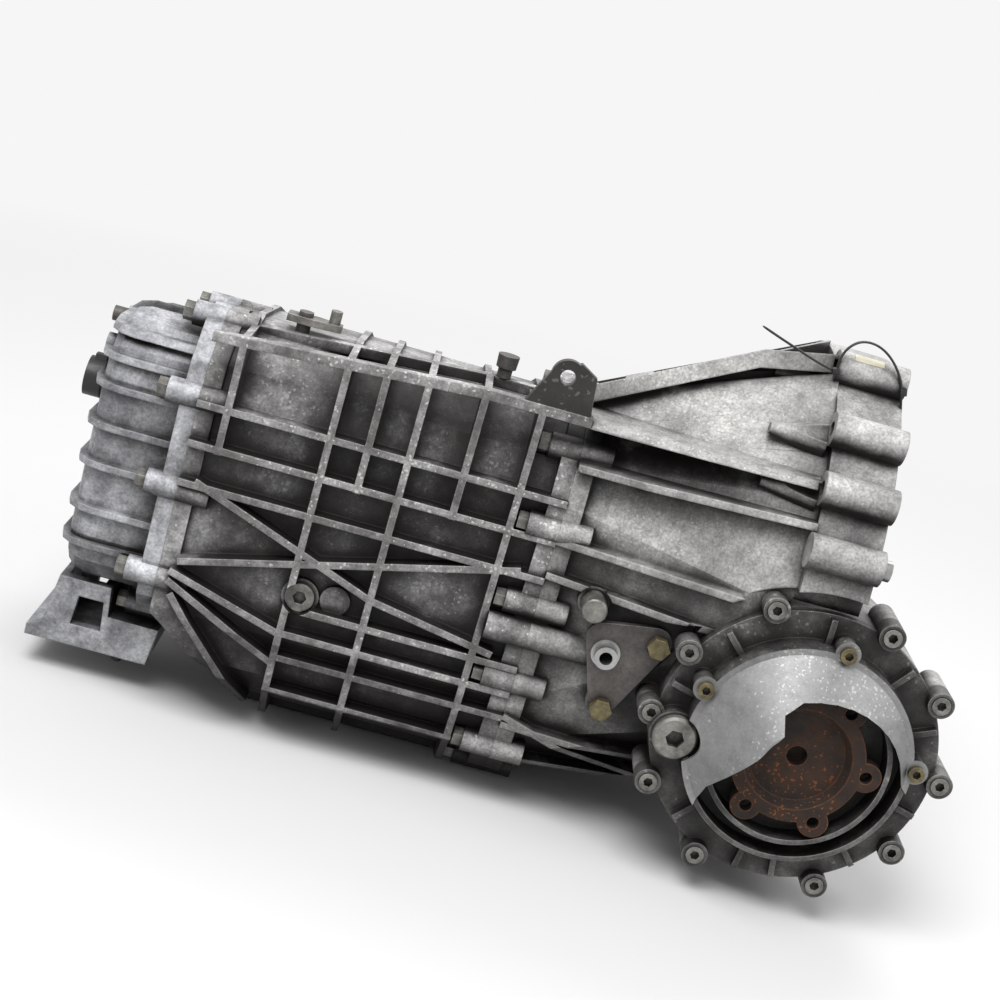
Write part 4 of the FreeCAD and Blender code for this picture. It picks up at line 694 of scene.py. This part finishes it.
@dataclass
class CableTies:
    """Two black nylon ties left on the top bolt boss of the rim.

    Sizes and places are in millimetres. Each course runs through points of x and z.
    """

    shop: Paintshop
    middle_y: float = -74.5
    width: float = 3.6
    thickness: float = 1.9
    head_size: Point = (4.6, 5.6, 4.8)
    head_rim: float = 0.7
    head_hollow: float = 0.9
    head_rounding: float = 0.5
    loop: tuple[Pair, ...] = (
        (-51.0, 158.5), (-51.4, 166.5), (-50.0, 174.1), (-46.0, 180.0), (-40.2, 184.1),
        (-31.5, 184.6), (-23.0, 181.6), (-15.5, 176.0), (-9.0, 168.8), (-4.6, 161.0),
        (-2.2, 152.5), (0.2, 145.0), (1.6, 138.5),
    )
    tail: tuple[Pair, ...] = (
        (-51.0, 159.2), (-60.0, 160.6), (-70.0, 163.2), (-80.0, 166.4), (-92.0, 170.0),
        (-101.0, 172.9), (-109.7, 175.8),
    )

    def strap(self, name: str, course: Sequence[Pair], side: float, taper: float) -> None:
        """Draws one strap as a strip extruded along its course.

        Args:
            name: The piece's name.
            course: Points of x and z.
            side: How far its middle stands from middle_y.
            taper: Width of the far end over that of the near end.
        """
        deselect()
        y = self.middle_y + side
        angles = [math.atan2(b[1] - a[1], b[0] - a[0]) for a, b in zip(course, course[1:])]
        narrow = taper ** (1.0 / (len(course) - 1))
        bpy.ops.mesh.primitive_plane_add(size=1.0)
        strip = bpy.context.object
        strip.scale = (self.thickness * MM, self.width * MM, 1.0)
        bpy.ops.object.transform_apply(scale=True)
        strip.rotation_euler = (0.0, math.pi / 2 - angles[0], 0.0)
        strip.location = metres(course[0][0], y, course[0][1])
        bpy.ops.object.transform_apply(location=True, rotation=True)
        open_edit(strip)
        bpy.ops.mesh.select_all(action="SELECT")
        facing = angles[0]
        for count, (a, b) in enumerate(zip(course, course[1:])):
            step = metres(b[0] - a[0], 0.0, b[1] - a[1])
            bpy.ops.mesh.extrude_region_move(TRANSFORM_OT_translate={"value": step})
            middle = metres(b[0], y, b[1])
            ahead = angles[min(count + 1, len(angles) - 1)]
            halfway = 0.5 * (ahead + angles[count])
            bpy.ops.transform.rotate(
                value=halfway - facing, orient_axis="Y", center_override=middle
            )
            bpy.ops.transform.resize(value=(1.0, narrow, 1.0), center_override=middle)
            facing = halfway
        close_edit()
        apply_modifier(strip, "SUBSURF", levels=2, render_levels=2)
        settle(strip, name, "housing")
        self.shop.dress(strip, Look.NYLON)

    def head(self, name: str, where: Pair, side: float, lean: float) -> None:
        """Moulds the box that the strap runs through.

        Args:
            name: The piece's name.
            where: Its x and z.
            side: How far its middle stands from middle_y.
            lean: Its turn about y in degrees.
        """
        deselect()
        bpy.ops.mesh.primitive_cube_add(size=1.0)
        block = bpy.context.object
        block.scale = metres(*self.head_size)
        bpy.ops.object.transform_apply(scale=True)
        open_edit(block)
        level = 0.9
        pick(block, lambda middle, normal: abs(normal.z) > level)
        bpy.ops.mesh.inset(thickness=self.head_rim * MM)
        bpy.ops.mesh.extrude_region_shrink_fatten(
            TRANSFORM_OT_shrink_fatten={"value": -self.head_hollow * MM}
        )
        close_edit()
        width = self.head_rounding * MM
        apply_modifier(block, "BEVEL", width=width, segments=2, limit_method="ANGLE")
        block.rotation_euler = (0.0, math.radians(lean), 0.0)
        block.location = metres(where[0], self.middle_y + side, where[1])
        settle(block, name, "housing")
        self.shop.dress(block, Look.NYLON)

    def build(self) -> None:
        """Makes both ties with their heads."""
        self.strap("tie_loop", self.loop, side=0.0, taper=0.9)
        self.strap("tie_tail", self.tail, side=-1.0, taper=0.6)
        self.head("tie_head_front", (-2.6, 158.0), side=0.0, lean=-12.0)
        self.head("tie_head_rear", (-51.6, 159.5), side=-1.0, lean=72.0)


@dataclass
class BareLabel:
    """A pale label with nothing on it, stuck over the top of the rim boss.

    Sizes and places are in millimetres and angles in degrees. The boss's middle is a point of y
    and z, and reach holds the label's two ends in x.
    """

    shop: Paintshop
    boss: Pair = (-61.6, 160.6)
    radius: float = 12.15
    reach: Pair = (-40.0, -19.0)
    facing: float = 118.0
    wrap: float = 32.0
    steps: int = 8
    lip: float = 0.02
    thickness: float = 0.15

    def build(self) -> None:
        """Bends a thin sheet round the boss by extruding its edge in steps."""
        deselect()
        middle = metres(0.0, self.boss[0], self.boss[1])
        bpy.ops.mesh.primitive_plane_add(size=1.0)
        sheet = bpy.context.object
        open_edit(sheet, "EDGE")
        shape = bmesh.from_edit_mesh(sheet.data)
        start = math.radians(self.facing - self.wrap / 2)
        edge_y = self.radius * math.cos(start)
        edge_z = self.radius * math.sin(start)
        for corner in shape.verts:
            x = self.reach[0] if corner.co.x < 0 else self.reach[1]
            spread = 0.0 if corner.co.y > 0 else self.lip
            corner.co = middle + metres(x, edge_y + spread, edge_z - spread)
        near = 5e-6
        for edge in shape.edges:
            gaps = [abs(corner.co.y - middle.y - edge_y * MM) for corner in edge.verts]
            edge.select_set(max(gaps) < near)
        bmesh.update_edit_mesh(sheet.data)
        turn = -math.radians(self.wrap / self.steps)
        for _ in range(self.steps):
            bpy.ops.mesh.extrude_region_move()
            bpy.ops.transform.rotate(value=turn, orient_axis="X", center_override=middle)
        close_edit()
        apply_modifier(sheet, "SOLIDIFY", thickness=self.thickness * MM, offset=0.0)
        settle(sheet, "bare_label", "housing")
        self.shop.dress(sheet, Look.PAPER)


class Lamp(NamedTuple):
    """A square soft box, with its place and size in metres and its power in watts."""

    name: str
    where: Point
    size: float
    power: float


@dataclass
class Studio:
    """The pale floor, the lamps and the camera.

    The camera's place is in millimetres and its three axes are in frame coordinates. The floor
    is darker in a round pool under the part and fades into the white surroundings.
    """

    eye_mm: Point = (-313.0, -1283.0, 346.0)
    right: Point = (0.96225833, 0.02282386, 0.27117886)
    down: Point = (0.26692596, -0.27324121, -0.92416978)
    ahead: Point = (0.05300412, 0.96167474, -0.26902091)
    focal_mm: float = 64.8
    sensor_mm: float = 36.0
    clip_end: float = 100.0
    floor_size: float = 60.0
    pool_scale: Point = (0.55, 0.55, 0.0)
    pool_shift: Point = (0.13, 0.0, 0.0)
    pool_edge: Pair = (0.0, 0.62)
    pool_tone: str = "#e6e6e6"
    bounce_tone: str = "#9c9c9a"
    white: str = "#f6f6f6"
    seen_strength: float = 1.0
    lighting_strength: float = 0.45
    target: Point = (-0.22, 0.0, 0.0)
    soft_boxes: tuple[Lamp, ...] = (
        Lamp("key_lamp", (-0.9, -1.3, 2.2), 1.5, 62.0),
        Lamp("fill_lamp", (1.7, -1.2, 1.2), 1.4, 16.0),
        Lamp("back_lamp", (0.3, 1.6, 1.9), 1.4, 24.0),
    )

    def seen_directly(self, tree: Tree) -> Socket:
        """One where a ray comes straight, mirrored or through glass to the camera."""
        rays = add(tree, "ShaderNodeLightPath").outputs
        total = combine(tree, "ADD", rays["Is Camera Ray"], rays["Is Glossy Ray"], clamp=True)
        return combine(tree, "ADD", total, rays["Is Transmission Ray"], clamp=True)

    def mix(self, tree: Tree, weight: Socket, under: Node, over: Node) -> Node:
        """Shows one shader where the weight is zero and another where it is one."""
        links = {0: weight, 1: under.outputs[0], 2: over.outputs[0]}
        return add(tree, "ShaderNodeMixShader", None, links)

    def floor(self, level: float) -> None:
        """Lays the floor under the lowest point of the part.

        Args:
            level: Height of the floor.
        """
        deselect()
        bpy.ops.mesh.primitive_plane_add(size=self.floor_size, location=(0.0, 0.0, level))
        floor = bpy.context.object
        floor.name = "floor"
        material = bpy.data.materials.new("pale_floor")
        material.use_nodes = True
        tree = material.node_tree
        tree.nodes.clear()
        place = add(tree, "ShaderNodeTexCoord").outputs["Object"]
        near = ball(tree, place, self.pool_scale, self.pool_shift)
        fade = span(tree, near, self.pool_edge, FULL)
        shaded = add(tree, "ShaderNodeBsdfDiffuse", {"Color": srgb(self.pool_tone)})
        glow = add(
            tree,
            "ShaderNodeEmission",
            {"Color": srgb(self.white), "Strength": self.seen_strength},
        )
        seen = self.mix(tree, fade, glow, shaded)
        bounce = add(tree, "ShaderNodeBsdfDiffuse", {"Color": srgb(self.bounce_tone)})
        mixed = self.mix(tree, self.seen_directly(tree), bounce, seen)
        add(tree, "ShaderNodeOutputMaterial", None, {"Surface": mixed.outputs[0]})
        floor.data.materials.append(material)
        floor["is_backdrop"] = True

    def lamps(self) -> None:
        """Hangs the soft boxes round the part and sets the pale surroundings."""
        for box in self.soft_boxes:
            lamp = bpy.data.lights.new(box.name, "AREA")
            lamp.shape = "SQUARE"
            lamp.size = box.size
            lamp.energy = box.power
            holder = bpy.data.objects.new(box.name, lamp)
            towards = Vector(self.target) - Vector(box.where)
            turn = towards.to_track_quat("-Z", "Y").to_matrix().to_4x4()
            holder.matrix_world = Matrix.Translation(box.where) @ turn
            bpy.context.scene.collection.objects.link(holder)
        world = bpy.data.worlds.new("surroundings")
        world.use_nodes = True
        tree = world.node_tree
        tree.nodes.clear()
        white = srgb(self.white)
        lighting, seen = (
            add(tree, "ShaderNodeBackground", {"Color": white, "Strength": strength})
            for strength in (self.lighting_strength, self.seen_strength)
        )
        mixed = self.mix(tree, self.seen_directly(tree), lighting, seen)
        add(tree, "ShaderNodeOutputWorld", None, {"Surface": mixed.outputs[0]})
        bpy.context.scene.world = world

    def camera(self) -> None:
        """Sets the camera to the photograph's place and turn."""
        data = bpy.data.cameras.new("camera")
        data.lens = self.focal_mm
        data.sensor_width = self.sensor_mm
        data.clip_end = self.clip_end
        holder = bpy.data.objects.new("camera", data)
        columns = (Vector(self.right), -Vector(self.down), -Vector(self.ahead))
        turn = Matrix([[column[row] for column in columns] for row in range(3)]).to_4x4()
        holder.matrix_world = Matrix.Translation(metres(*self.eye_mm)) @ turn
        bpy.context.scene.collection.objects.link(holder)
        bpy.context.scene.camera = holder


def main() -> None:
    """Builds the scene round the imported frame."""
    logging.basicConfig(level=logging.INFO, format="%(name)s: %(message)s")
    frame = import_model()
    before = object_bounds()
    studio = Studio()
    studio.camera()
    shop = Paintshop()
    shop.dress_nodes(frame["nodes"])
    log.info("dressed %d nodes", len(frame["nodes"]))
    CableTies(shop).build()
    BareLabel(shop).build()
    studio.floor(before[0][2])
    studio.lamps()
    bpy.context.scene.view_settings.view_transform = "Standard"


if __name__ == "__main__":
    main()
